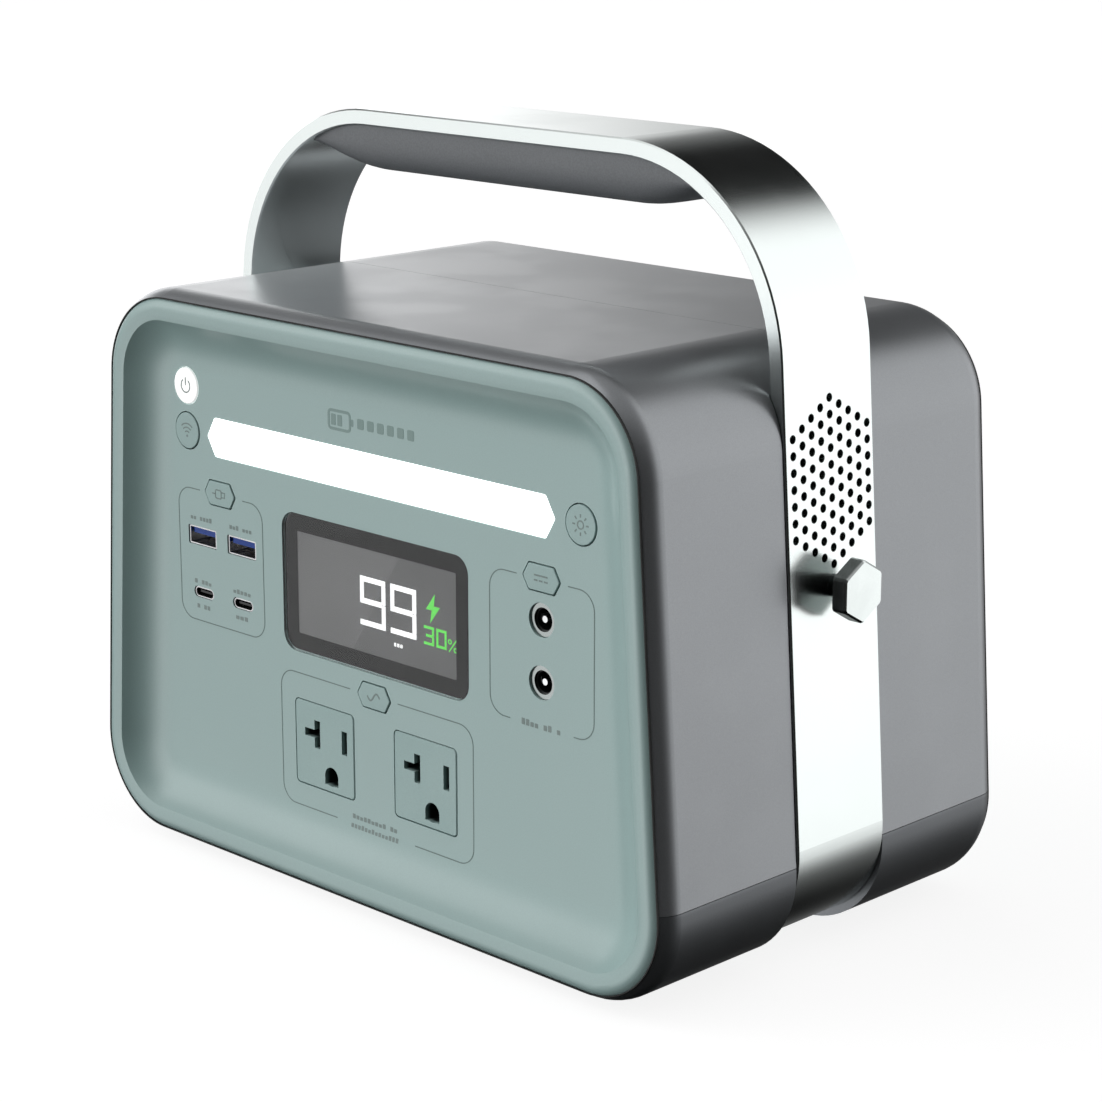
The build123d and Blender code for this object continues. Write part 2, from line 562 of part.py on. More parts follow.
def make_inverter():
    z = INVERTER_Z
    board = box(-95, 95, -28, 60, z, z + BOARD_T)
    top = z + BOARD_T + 0.02
    sink = box(-72, -8, 14, 54, top, top + 5)
    for i in range(9):
        x = -71.5 + i * 7.75
        sink += box(x, x + 1.5, 14, 54, top + 4.5, top + 26)
    chips = [box(x - 5, x + 5, 8.5, 13.2, top, top + 16) for x in (-64, -48, -32, -16)]
    core = box(18, 62, 14, 50, top, top + 32) - box(26, 54, 0, 60, top + 8, top + 24)
    core += box(36, 44, 14, 50, top + 7, top + 25)
    coil = box(27, 35.6, 15, 49, top + 8.4, top + 23.6) + box(44.4, 53, 15, 49, top + 8.4, top + 23.6)
    caps = []
    for x in (-60, -38, -16, 8):
        can = rod_z(x, -8, 18, top, top + 34)
        caps.append(fillet(can.faces().sort_by(Axis.Z)[-1].edges(), 1.5))
    return board, sink, grouped(*chips), core, grouped(coil), grouped(*caps)


def make_fan():
    """Cooling fan behind the right leg: frame and rotor, axis along the leg's normal."""
    t = FAN_T / 2
    frame = fillet(Box(FAN_T, FAN_W, FAN_W).edges().filter_by(Axis.X), 3)
    frame -= Rot(0, 90, 0) * Cylinder(FAN_BORE / 2, FAN_T + 2)
    for dy, dz in FAN_HOLES:
        frame -= Pos(0, dy, dz) * Rot(0, 90, 0) * Cylinder(1.6, FAN_T + 2)
    frame += Pos(-t + 0.75, 0, 0) * Rot(0, 90, 0) * Cylinder(12, 1.5)
    for turn in (45, 135):
        frame += Pos(-t + 0.75, 0, 0) * Rot(turn, 0, 0) * Box(1.5, FAN_BORE + 1, 2.4)
    frame += Pos(-t + 3.2, 0, 0) * Rot(0, 90, 0) * Cylinder(1.5, 4)
    rotor = Pos(1.6, 0, 0) * Rot(0, 90, 0) * Cylinder(10.5, 10.4)
    rotor -= Pos(-t + 3.2, 0, 0) * Rot(0, 90, 0) * Cylinder(1.55, 4.6)
    for k in range(7):
        blade = Pos(1.6, 0, 15.8) * Rot(0, 0, 38) * Box(1.3, 13, 11.6)
        rotor += Rot(360 / 7 * k, 0, 0) * blade
    rotor &= Rot(0, 90, 0) * Cylinder(FAN_BORE / 2 - 0.8, FAN_T - 1.6)
    screws = []
    for dy, dz in FAN_HOLES:
        shank = Pos(0.6, dy, dz) * Rot(0, 90, 0) * Cylinder(1.4, FAN_T + 3)
        head = Pos(-t - 1.05, dy, dz) * Rot(0, 90, 0) * Cylinder(2.6, 2.0)
        screws.append(on_fan(shank + head))
    return on_fan(frame), on_fan(rotor), grouped(*screws)


def make_input():
    """Charging jack at the back, its hinged flap and the flap's pin."""
    face = -FLOOR_Y
    x, z = INPUT
    barrel, ring, pin = dc_jack(x, z, face, 1)
    axis = (face + 2.6, z + 16)
    flap = prism(rect(x, z, 26, 27, 4), face + 0.3, face + 2.3)
    flap += prism(rect(x, z + 13, 22, 5.4), face + 0.5, face + 2.3) + rod_x(*axis, 4.4, -14.6, 14.6)
    flap += rod_y(x, z, 9.2, face - 0.5, face + 1)
    flap += prism(rect(x, z - 12.6, 12, 3.0, 1.2), face + 1.5, face + 3.4)
    flap -= rod_x(*axis, 1.7, -20, 20)
    return barrel, ring, pin, flap, rod_x(*axis, 1.6, -17.4, 17.4)


def make_screws():
    base = [rod_z(x, y, 3.8, FOOT_H + 1.4, 43) + rod_z(x, y, 8.0, FOOT_H + 0.6, FOOT_H + 3.1)
            for x, y in BASE_SCREWS]
    strap = [rod_z(x, y, 3.9, STRAP_LOW + 1.0, 12)
             + Pos(x, y, STRAP_LOW + 0.05) * Cone(3.6, 1.95, 1.7, align=(Align.CENTER, Align.CENTER, Align.MIN))
             for x, y in STRAP_SCREWS]
    face = -FLOOR_Y
    cover = [rod_y(x, z, 2.95, 56, face + 0.6)
             + fillet(rod_y(x, z, 6.4, face + 0.05, face + 2.2).faces().sort_by(Axis.Y)[-1].edges(), 0.8)
             for x, z in COVER_SCREWS]
    return grouped(*base), grouped(*strap), grouped(*cover)


def make_feet():
    feet = [fillet(rod_z(x, y, 16, 0, FOOT_H + 0.95).faces().sort_by(Axis.Z)[0].edges(), 0.6)
            + rod_z(x, y, 5.9, FOOT_H, FOOT_H + 4) for x, y in FEET]
    return grouped(*feet)


# ---- build and write -------------------------------------------------------------
def build():
    parts = {}
    blank = cover_blank()
    parts["front_bezel"] = make_front_bezel(blank)
    parts["rear_cover"] = make_rear_cover(blank)
    parts["front_shell"], parts["rear_shell"], parts["base_tray"] = make_shells(shell_blank())
    parts["handle_strap"] = make_strap()
    parts["grip_pad"] = make_grip()
    parts["strap_pegs"], parts["peg_nuts"] = make_pegs()
    parts["vent_meshes"] = make_vent_meshes()
    for name, (x, z) in ROUND_BUTTONS.items():
        parts[name] = make_button(x, z, Circle(BUTTON_D / 2))
    for name, (x, z) in HEX_BUTTONS.items():
        parts[name] = make_button(x, z, hex_bar(HEX_HALF))
    parts["button_switches"] = make_switches()
    parts["light_bar_lens"], parts["light_bar_lamps"] = make_light_bar()
    parts["display_window"], parts["lcd_module"], parts["lcd_segments"] = make_display()
    (parts["usb_a_shells"], parts["usb_a_tongues"],
     parts["usb_c_shells"], parts["usb_c_tongues"]) = make_usb()
    parts["dc_jack_barrels"], parts["dc_jack_rings"], parts["dc_jack_pins"] = make_dc_jacks()
    for name, (x, z) in OUTLETS.items():
        parts[name] = make_outlet(x, z)
    parts["outlet_contacts"] = make_contacts()
    parts["front_board"], parts["board_screws"] = make_front_board()
    parts["battery_cells"], parts["cell_holders"], parts["bus_bars"], parts["battery_board"] = make_battery()
    parts["battery_leads"] = make_leads()
    (parts["inverter_board"], parts["heat_sink"], parts["power_transistors"], parts["transformer_core"],
     parts["transformer_coil"], parts["capacitors"]) = make_inverter()
    parts["fan_frame"], parts["fan_rotor"], parts["fan_screws"] = make_fan()
    (parts["input_barrel"], parts["input_ring"], parts["input_pin"],
     parts["input_flap"], parts["flap_pin"]) = make_input()
    parts["base_screws"], parts["strap_screws"], parts["cover_screws"] = make_screws()
    parts["rubber_feet"] = make_feet()
    return parts


def main():
    os.makedirs("parts", exist_ok=True)
    for name, shape in build().items():
        export_step(shape, f"parts/{name}.step")


main()
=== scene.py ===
"""Portable power station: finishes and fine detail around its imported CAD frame."""
import math

import bpy
import numpy as np
from bpy.props import FloatProperty, FloatVectorProperty, PointerProperty
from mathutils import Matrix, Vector


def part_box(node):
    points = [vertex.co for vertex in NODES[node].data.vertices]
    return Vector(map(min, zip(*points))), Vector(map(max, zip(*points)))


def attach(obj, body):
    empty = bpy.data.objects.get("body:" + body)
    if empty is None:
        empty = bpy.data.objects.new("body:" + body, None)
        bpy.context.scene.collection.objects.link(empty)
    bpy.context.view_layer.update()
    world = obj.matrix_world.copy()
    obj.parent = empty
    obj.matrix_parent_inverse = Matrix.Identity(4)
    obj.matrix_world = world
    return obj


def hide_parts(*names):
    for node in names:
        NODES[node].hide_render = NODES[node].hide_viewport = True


bl_info = {
    "name": "Power Station",
    "version": (1, 0, 0),
    "blender": (4, 5, 0),
    "location": "View3D > Sidebar > Power Station",
    "description": "Finishes and fine detail for a portable power station",
    "category": "Add Mesh",
}

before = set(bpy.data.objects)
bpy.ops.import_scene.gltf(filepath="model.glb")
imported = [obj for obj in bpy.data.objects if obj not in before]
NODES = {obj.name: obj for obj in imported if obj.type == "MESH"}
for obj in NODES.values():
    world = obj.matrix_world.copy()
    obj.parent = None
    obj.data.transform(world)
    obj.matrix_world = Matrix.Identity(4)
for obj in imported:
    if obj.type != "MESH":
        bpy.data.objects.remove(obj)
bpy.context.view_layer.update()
MM = 0.001
PANEL_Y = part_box("display_window")[0].y        # the flat floor of the dished front
INK_T = 0.05 * MM                              # thickness of printed lines
HOUSING = "housing"
FOOT_R = 8.0 * MM
SEAM_Y = 75.0 * MM                             # planes where the covers meet the shells
SEAM_IN = 2.64 * MM                            # seam inside the body's outline
SEAL_PROUD = 0.12 * MM
BODY_LOW, BODY_HIGH = 2.0 * MM, 183.9 * MM     # body's underside and lid
BASE_HALF = 128.98 * MM                        # half width at the underside
SIDE_LEAN = 0.07
CORNER_R = 30.0 * MM
DISH_R = 20.7 * MM                             # radius of the dish's wall
DISH_EDGE_Z = 28.14 * MM                       # height where the flat floor meets the lower wall


# ---- settings
def colour_prop(name, description, rgb):
    return FloatVectorProperty(name=name, description=description, subtype="COLOR", size=3,
                               min=0.0, max=1.0, default=rgb)


class StationColours(bpy.types.PropertyGroup):
    """Colours of the visible finishes, in linear light."""
    panel: colour_prop("Panel", "Moulded front and rear covers", (0.348, 0.486, 0.473))
    body: colour_prop("Body", "Painted shells", (0.345, 0.360, 0.377))
    base: colour_prop("Base", "Painted base", (0.180, 0.191, 0.203))
    metal: colour_prop("Metal", "Anodised strap and pegs", (0.800, 0.850, 0.838))
    grip: colour_prop("Grip", "Soft pad under the strap", (0.150, 0.160, 0.170))
    ink: colour_prop("Ink", "Printed lines and marks", (0.150, 0.212, 0.202))
    light: colour_prop("Light", "Lit light bar and power button", (1.0, 1.0, 0.99))
    digits: colour_prop("Digits", "Large digits of the display", (1.0, 1.0, 1.0))
    charge: colour_prop("Charge", "Small green digits and sign", (0.13, 0.62, 0.10))
    tongue: colour_prop("Tongue", "USB-A tongues", (0.008, 0.050, 0.300))


class StationSizes(bpy.types.PropertyGroup):
    """Sizes of the fine detail."""
    line: FloatProperty(name="Frame line", description="Width of the printed frame lines",
                        default=0.00034, min=0.0001, unit="LENGTH")
    mark: FloatProperty(name="Mark line", description="Stroke of the button signs",
                        default=0.00042, min=0.0001, unit="LENGTH")
    seal: FloatProperty(name="Seam seal", description="Width of the dark seal at each cover's edge",
                        default=0.00032, min=0.0001, unit="LENGTH")
    frame_r: FloatProperty(name="Frame corner", description="Corner radius of the printed frames",
                           default=0.0058, min=0.001, unit="LENGTH")
    grip_round: FloatProperty(name="Grip fullness", description="Squareness of the grip's section",
                              default=3.3, min=2.0, max=6.0, subtype="FACTOR")


class StationStage(bpy.types.PropertyGroup):
    """Light levels of the studio."""
    surround: FloatProperty(name="Surround", description="Brightness of the surroundings",
                            default=1.0, min=0.0, subtype="FACTOR")
    key: FloatProperty(name="Key", description="Power of the overhead soft box",
                       default=2.5, min=0.0, unit="POWER")
    floor: FloatProperty(name="Floor", description="Extra glow of the pale floor",
                         default=0.86, min=0.0, subtype="FACTOR")


def panel_y(z):
    """Depth of the dished panel at height z: flat, and below its edge the circle that the dish follows,
    whose forward rise is its radius less the root of radius squared less distance squared."""
    down = np.clip(DISH_EDGE_Z - np.asarray(z, float), 0, 0.9 * DISH_R)
    return PANEL_Y - (DISH_R - np.sqrt(DISH_R ** 2 - down ** 2))


# ---- mesh helpers
def make_object(name, parts, finish, body=HOUSING, smooth=False, replaces=()):
    """Mesh object in the row frame, joined from its parts, that has a finish, rides on a body and
    stands for the nodes it replaces."""
    verts, faces = join_parts(parts)
    mesh = bpy.data.meshes.new(name)
    mesh.from_pydata(verts.tolist(), [], faces)
    mesh.validate()
    if smooth:
        mesh.shade_smooth()
        mesh.set_sharp_from_angle(angle=math.radians(35))
    mesh.materials.append(finish_of(finish))
    obj = bpy.data.objects.new(name, mesh)
    bpy.context.scene.collection.objects.link(obj)
    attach(obj, body)
    if replaces:
        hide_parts(*replaces)


def grid_faces(rows, cols, wrap=True, start=0):
    """Quads between neighbouring rows of a rows x cols grid; wrap joins the last column to the first."""
    r = np.arange(rows - 1)[:, None]
    c = np.arange(cols if wrap else cols - 1)[None, :]
    nxt = (c + 1) % cols
    quads = np.stack([r * cols + c, r * cols + nxt, (r + 1) * cols + nxt, (r + 1) * cols + c], -1)
    return (quads.reshape(-1, 4) + start).tolist()


def join_parts(parts):
    """One vertex array and face list from several (vertices, faces)."""
    verts, faces, offset = [], [], 0
    for v, f in parts:
        verts.append(np.asarray(v, float).reshape(-1, 3))
        faces += [[i + offset for i in face] for face in f]
        offset += len(verts[-1])
    return np.concatenate(verts), faces


def stroke(points, width, y=None, closed=False, lift=INK_T):
    """Flat line in the panel plane: the path's X and Z, moved half a width to each side along its
    normal, at two depths, so a rectangle is carried along it. Returns vertices and faces."""
    p = np.asarray(points, float)
    if closed:
        d = np.roll(p, -1, 0) - np.roll(p, 1, 0)
    else:
        d = np.gradient(p, axis=0)
    d /= np.linalg.norm(d, axis=1, keepdims=True)
    side = np.stack([-d[:, 1], d[:, 0]], 1) * width / 2
    left, right = p + side, p - side
    ring = np.zeros((len(p), 4, 3))
    for k, (edge, front) in enumerate(((left, lift), (right, lift), (right, 0), (left, 0))):
        base = panel_y(edge[:, 1]) if y is None else y
        ring[:, k, 0], ring[:, k, 1], ring[:, k, 2] = edge[:, 0], base - front, edge[:, 1]
    n = len(p)
    faces = grid_faces(n, 4)
    if closed:
        last = (n - 1) * 4
        faces += [[last + k, last + (k + 1) % 4, (k + 1) % 4, k] for k in range(4)]
    else:
        faces += [[3, 2, 1, 0], [(n - 1) * 4 + k for k in range(4)]]
    return ring.reshape(-1, 3), faces


def bar(x0, z0, x1, z1, width, y, lift=INK_T):
    """Straight stroke between two points."""
    return stroke([(x0, z0), ((x0 + x1) / 2, (z0 + z1) / 2), (x1, z1)], width, y, lift=lift)


def plate(outline, y_front, y_back):
    """Flat plate: a closed outline in X and Z, set at two depths and joined by its edge."""
    p = np.asarray(outline, float)
    n = len(p)
    verts = np.zeros((2, n, 3))
    verts[:, :, 0], verts[:, :, 2] = p[:, 0], p[:, 1]
    verts[0, :, 1], verts[1, :, 1] = y_front, y_back
    faces = [list(range(n)), list(range(2 * n - 1, n - 1, -1))]
    faces += [[k, n + k, n + (k + 1) % n, (k + 1) % n] for k in range(n)]
    return verts.reshape(-1, 3), faces


def box_part(x0, x1, y0, y1, z0, z1):
    return plate([(x0, z0), (x1, z0), (x1, z1), (x0, z1)], y0, y1)


def arc(cx, cz, r, a0, a1, steps=24):
    """Points at radius r about a centre, from angle a0 to a1 in degrees."""
    a = np.radians(np.linspace(a0, a1, steps))
    return np.stack([cx + r * np.cos(a), cz + r * np.sin(a)], 1)


def rounded_rect(x0, x1, z0, z1, r, steps=8):
    """Closed outline: a quarter turn of radius r about each inset corner, counter-clockwise."""
    corners = ((x1 - r, z1 - r, 0), (x0 + r, z1 - r, 90), (x0 + r, z0 + r, 180), (x1 - r, z0 + r, 270))
    return np.concatenate([arc(cx, cz, r, a, a + 90, steps) for cx, cz, a in corners])


def slice_path(outline, skip):
    """Open runs of a closed outline, left after the spans in skip, (z above or below, x0, x1), go."""
    p = np.concatenate([outline, outline[:1]])
    length = np.concatenate([[0], np.cumsum(np.linalg.norm(np.diff(p, axis=0), axis=1))])
    s = np.arange(0, length[-1], 0.0004)
    q = np.stack([np.interp(s, length, p[:, k]) for k in range(2)], 1)
    mid = (outline[:, 1].max() + outline[:, 1].min()) / 2
    keep = np.ones(len(q), bool)
    for upper, x0, x1 in skip:
        keep &= ~(((q[:, 1] > mid) == upper) & (q[:, 0] > x0) & (q[:, 0] < x1))
    start = int(np.argmin(keep))
    q, keep = np.roll(q, -start, 0), np.roll(keep, -start)
    cuts = np.flatnonzero(np.diff(keep.astype(int))) + 1
    return [run for run, ok in zip(np.split(q, cuts), np.split(keep, cuts)) if ok.all() and len(run) > 2]


def lathe(profile, turns=48, radius_fn=None):
    """Surface of revolution about +Z: each profile point (radius, height) swept through a full turn.
    radius_fn(angle, row) may scale a row's radius, which turns a round hole into a hexagon."""
    prof = np.asarray(profile, float)
    a = np.linspace(0, 2 * np.pi, turns, endpoint=False)
    r = np.repeat(prof[:, :1], turns, 1)
    if radius_fn is not None:
        r = r * np.stack([radius_fn(a, k) for k in range(len(prof))])
    verts = np.stack([r * np.cos(a), r * np.sin(a), np.repeat(prof[:, 1:2], turns, 1)], -1)
    n = len(prof)
    faces = [face[::-1] for face in grid_faces(n, turns)]
    faces.append(list(range(turns)))
    faces.append([(n - 1) * turns + k for k in range(turns)][::-1])
    return verts.reshape(-1, 3), faces


def turned(part, axes, origin):
    """Places vertices drawn about +Z: axes are the world directions of local X, Y and Z."""
    verts, faces = part
    return verts @ np.asarray(axes, float) + np.asarray(origin, float), faces


# ---- node helpers
SKIN_DEPTH, GLOW_DEPTH, BLAST_DEPTH, LINE_DEPTH = 0.06 * MM, 0.04 * MM, 0.03 * MM, 0.02 * MM
METAL_EDGE = 0.4 * MM                          # width of the worn edge on metal
WORN_SKIN = 1.45                               # how much paler a worn edge of paint or plastic is
BLAST_GRAIN = 4200.0


class Tree:
    """Short hand for building a node tree: add nodes by type and link sockets by name."""

    def __init__(self, tree):
        self.tree = tree

    def node(self, kind, settings=None, **inputs):
        item = self.tree.nodes.new(kind)
        for key, value in (settings or {}).items():
            setattr(item, key, value)
        for key, value in inputs.items():
            self.put(item, key.replace("_", " "), value)
        return item

    def put(self, item, key, value):
        socket = item.inputs[int(key)] if key.isdigit() else item.inputs[key]
        if isinstance(value, bpy.types.NodeSocket):
            self.tree.links.new(value, socket)
        else:
            socket.default_value = value

    def math(self, operation, a, b=0.0, clamp=False):
        item = self.node("ShaderNodeMath", {"operation": operation, "use_clamp": clamp})
        self.put(item, "0", a)
        self.put(item, "1", b)
        return item.outputs[0]

    def ramp(self, value, lo, hi, out_lo=0.0, out_hi=1.0):
        item = self.node("ShaderNodeMapRange", {"interpolation_type": "SMOOTHSTEP"}, Value=value)
        for key, number in (("From Min", lo), ("From Max", hi), ("To Min", out_lo), ("To Max", out_hi)):
            item.inputs[key].default_value = number
        return item.outputs["Result"]

    def mix(self, factor, a, b):
        item = self.node("ShaderNodeMix", {"data_type": "RGBA"})
        self.put(item, "0", factor)
        self.put(item, "6", a)
        self.put(item, "7", b)
        return item.outputs[2]


def rgba(colour, scale=1.0):
    return tuple(min(max(c * scale, 0.0), 1.0) for c in colour) + (1.0,)


def new_group(name, inputs, outputs):
    group = bpy.data.node_groups.new(name, "ShaderNodeTree")
    for label, kind, default in inputs:
        socket = group.interface.new_socket(label, in_out="INPUT", socket_type=kind)
        if default is not None:
            socket.default_value = default
    for label, kind in outputs:
        group.interface.new_socket(label, in_out="OUTPUT", socket_type=kind)
    t = Tree(group)
    return group, t, t.node("NodeGroupInput"), t.node("NodeGroupOutput")


def build_moulded_grain():
    """Spark-eroded or painted skin: fine grain height, broad tone shift and a gloss shift."""
    group, t, inp, out = new_group(
        "Skin grain",
        [("Vector", "NodeSocketVector", None), ("Grain", "NodeSocketFloat", 2600.0),
         ("Cloud", "NodeSocketFloat", 28.0)],
        [("Height", "NodeSocketFloat"), ("Tone", "NodeSocketFloat"), ("Gloss", "NodeSocketFloat")])
    fine = t.node("ShaderNodeTexNoise", Vector=inp.outputs["Vector"], Scale=inp.outputs["Grain"],
                  Detail=3.0, Roughness=0.6)
    cell = t.node("ShaderNodeTexVoronoi", {"feature": "SMOOTH_F1"}, Vector=inp.outputs["Vector"],
                  Scale=inp.outputs["Grain"], Smoothness=0.6)
    broad = t.node("ShaderNodeTexNoise", Vector=inp.outputs["Vector"], Scale=inp.outputs["Cloud"],
                   Detail=5.0, Roughness=0.55)
    height = t.math("ADD", t.math("MULTIPLY", fine.outputs["Fac"], 0.7),
                    t.math("MULTIPLY", cell.outputs["Distance"], 0.5))
    t.put(out, "Height", height)
    t.put(out, "Tone", t.ramp(fine.outputs["Fac"], 0.3, 0.7))
    t.put(out, "Gloss", t.ramp(broad.outputs["Fac"], 0.35, 0.65))
    return group


def build_edge_wear():
    """Mask that is 1 on outside edges, where a bevelled normal turns away from the true one."""
    group, t, inp, out = new_group(
        "Edge wear",
        [("Vector", "NodeSocketVector", None), ("Radius", "NodeSocketFloat", 0.0006),
         ("Amount", "NodeSocketFloat", 0.5)],
        [("Mask", "NodeSocketFloat")])
    bevel = t.node("ShaderNodeBevel", {"samples": 4}, Radius=inp.outputs["Radius"])
    normal = t.node("ShaderNodeNewGeometry")
    dot = t.node("ShaderNodeVectorMath", {"operation": "DOT_PRODUCT"})
    t.put(dot, "0", bevel.outputs["Normal"])
    t.put(dot, "1", normal.outputs["Normal"])
    edge = t.ramp(dot.outputs["Value"], 0.995, 0.90)
    chips = t.node("ShaderNodeTexNoise", Vector=inp.outputs["Vector"], Scale=420.0, Detail=4.0)
    broken = t.ramp(chips.outputs["Fac"], 0.42, 0.62)
    mask = t.math("MULTIPLY", t.math("MULTIPLY", edge, broken), inp.outputs["Amount"], True)
    t.put(out, "Mask", mask)
    return group


def build_brushed():
    """Fine lines along one direction: noise squeezed across the lines, and a slow streak."""
    group, t, inp, out = new_group(
        "Brushed lines",
        [("Vector", "NodeSocketVector", None), ("Along", "NodeSocketVector", (40.0, 3000.0, 40.0))],
        [("Height", "NodeSocketFloat"), ("Streak", "NodeSocketFloat")])
    scaled = t.node("ShaderNodeVectorMath", {"operation": "MULTIPLY"})
    t.put(scaled, "0", inp.outputs["Vector"])
    t.put(scaled, "1", inp.outputs["Along"])
    lines = t.node("ShaderNodeTexNoise", Vector=scaled.outputs[0], Scale=1.0, Detail=4.0, Roughness=0.7)
    slow = t.node("ShaderNodeTexNoise", Vector=scaled.outputs[0], Scale=0.12, Detail=3.0)
    t.put(out, "Height", lines.outputs["Fac"])
    t.put(out, "Streak", t.ramp(slow.outputs["Fac"], 0.35, 0.65))
    return group


GROUPS = {}


def effect(t, name, vector, **values):
    """Places an effect group in a material with its own values."""
    if name not in GROUPS:
        GROUPS[name] = {"grain": build_moulded_grain, "wear": build_edge_wear,
                        "brushed": build_brushed}[name]()
    item = t.node("ShaderNodeGroup", {"node_tree": GROUPS[name]})
    t.put(item, "Vector", vector)
    for key, value in values.items():
        t.put(item, key, value)
    return item


def start_material(name):
    material = bpy.data.materials.new(name)
    material.use_nodes = True
    material.node_tree.nodes.clear()
    t = Tree(material.node_tree)
    shader = t.node("ShaderNodeBsdfPrincipled")
    output = t.node("ShaderNodeOutputMaterial")
    t.tree.links.new(shader.outputs[0], output.inputs["Surface"])
    where = t.node("ShaderNodeTexCoord").outputs["Object"]
    return material, t, shader, where


def surface(t, shader, base, gloss, rough, height, bump, depth, span=(0.0, 1.0)):
    """Ends a material: its colour, its roughness between two values by a gloss mask, and its bump."""
    t.put(shader, "Base Color", base)
    t.put(shader, "Roughness", t.ramp(gloss, *span, *rough))
    lump = t.node("ShaderNodeBump", Strength=bump, Distance=depth, Height=height)
    t.put(shader, "Normal", lump.outputs[0])


def skin(name, colour, rough=0.45, rough_span=0.08, grain=2600.0, bump=0.12, tone=0.06, metallic=0.0,
         wear=0.35, coat=0.0, spec=0.5, radius=0.5 * MM):
    """Moulded or painted surface: grain in colour and height, clouded gloss, worn outside edges."""
    material, t, shader, where = start_material(name)
    g = effect(t, "grain", where, Grain=grain)
    w = effect(t, "wear", where, Amount=wear, Radius=radius)
    base = t.mix(g.outputs["Tone"], rgba(colour, 1 - tone), rgba(colour, 1 + tone))
    base = t.mix(w.outputs["Mask"], base, rgba(colour, WORN_SKIN))
    surface(t, shader, base, g.outputs["Gloss"], (rough - rough_span, rough + rough_span),
            g.outputs["Height"], bump, SKIN_DEPTH)
    t.put(shader, "Metallic", metallic)
    t.put(shader, "Specular IOR Level", spec)
    if coat:
        t.put(shader, "Coat Weight", coat)
        t.put(shader, "Coat Roughness", 0.25)
    return material


def metal(name, colour, rough=0.28, along=(40.0, 3000.0, 40.0), bump=0.05, wear=0.25, rough_span=0.06):
    """Machined or plated metal: fine lines in height and gloss, and edges worn bright."""
    material, t, shader, where = start_material(name)
    b = effect(t, "brushed", where, Along=along)
    w = effect(t, "wear", where, Amount=wear, Radius=METAL_EDGE)
    base = t.mix(b.outputs["Streak"], rgba(colour, 0.95), rgba(colour, 1.05))
    base = t.mix(w.outputs["Mask"], base, rgba((0.9, 0.9, 0.9)))
    surface(t, shader, base, b.outputs["Height"], (rough - rough_span, rough + rough_span),
            b.outputs["Height"], bump, LINE_DEPTH, span=(0.25, 0.75))
    t.put(shader, "Metallic", 1.0)
    return material


def blasted(name, colour, rough):
    """Bead-blasted and anodised metal: fine even grain, faint gloss shift, edges worn bright."""
    material, t, shader, where = start_material(name)
    g = effect(t, "grain", where, Grain=BLAST_GRAIN, Cloud=18.0)
    w = effect(t, "wear", where, Amount=0.3, Radius=METAL_EDGE)
    base = t.mix(g.outputs["Tone"], rgba(colour, 0.975), rgba(colour, 1.025))
    base = t.mix(w.outputs["Mask"], base, rgba((0.92, 0.93, 0.93)))
    surface(t, shader, base, g.outputs["Gloss"], (rough - 0.015, rough + 0.015), g.outputs["Height"],
            0.06, BLAST_DEPTH)
    t.put(shader, "Metallic", 1.0)
    return material


def glow(name, colour, strength, cloud=60.0, low=0.93, spec=0.5):
    """Lit diffuser: light from within, slightly clouded by the moulding."""
    material, t, shader, where = start_material(name)
    g = effect(t, "grain", where, Grain=900.0, Cloud=cloud)
    surface(t, shader, t.mix(g.outputs["Tone"], rgba(colour, 0.82), rgba(colour, 0.9)),
            g.outputs["Gloss"], (0.3, 0.42), g.outputs["Height"], 0.05, GLOW_DEPTH)
    t.put(shader, "Emission Color", t.mix(g.outputs["Gloss"], rgba(colour, low), rgba(colour)))
    t.put(shader, "Emission Strength", strength)
    t.put(shader, "Specular IOR Level", spec)
    return material


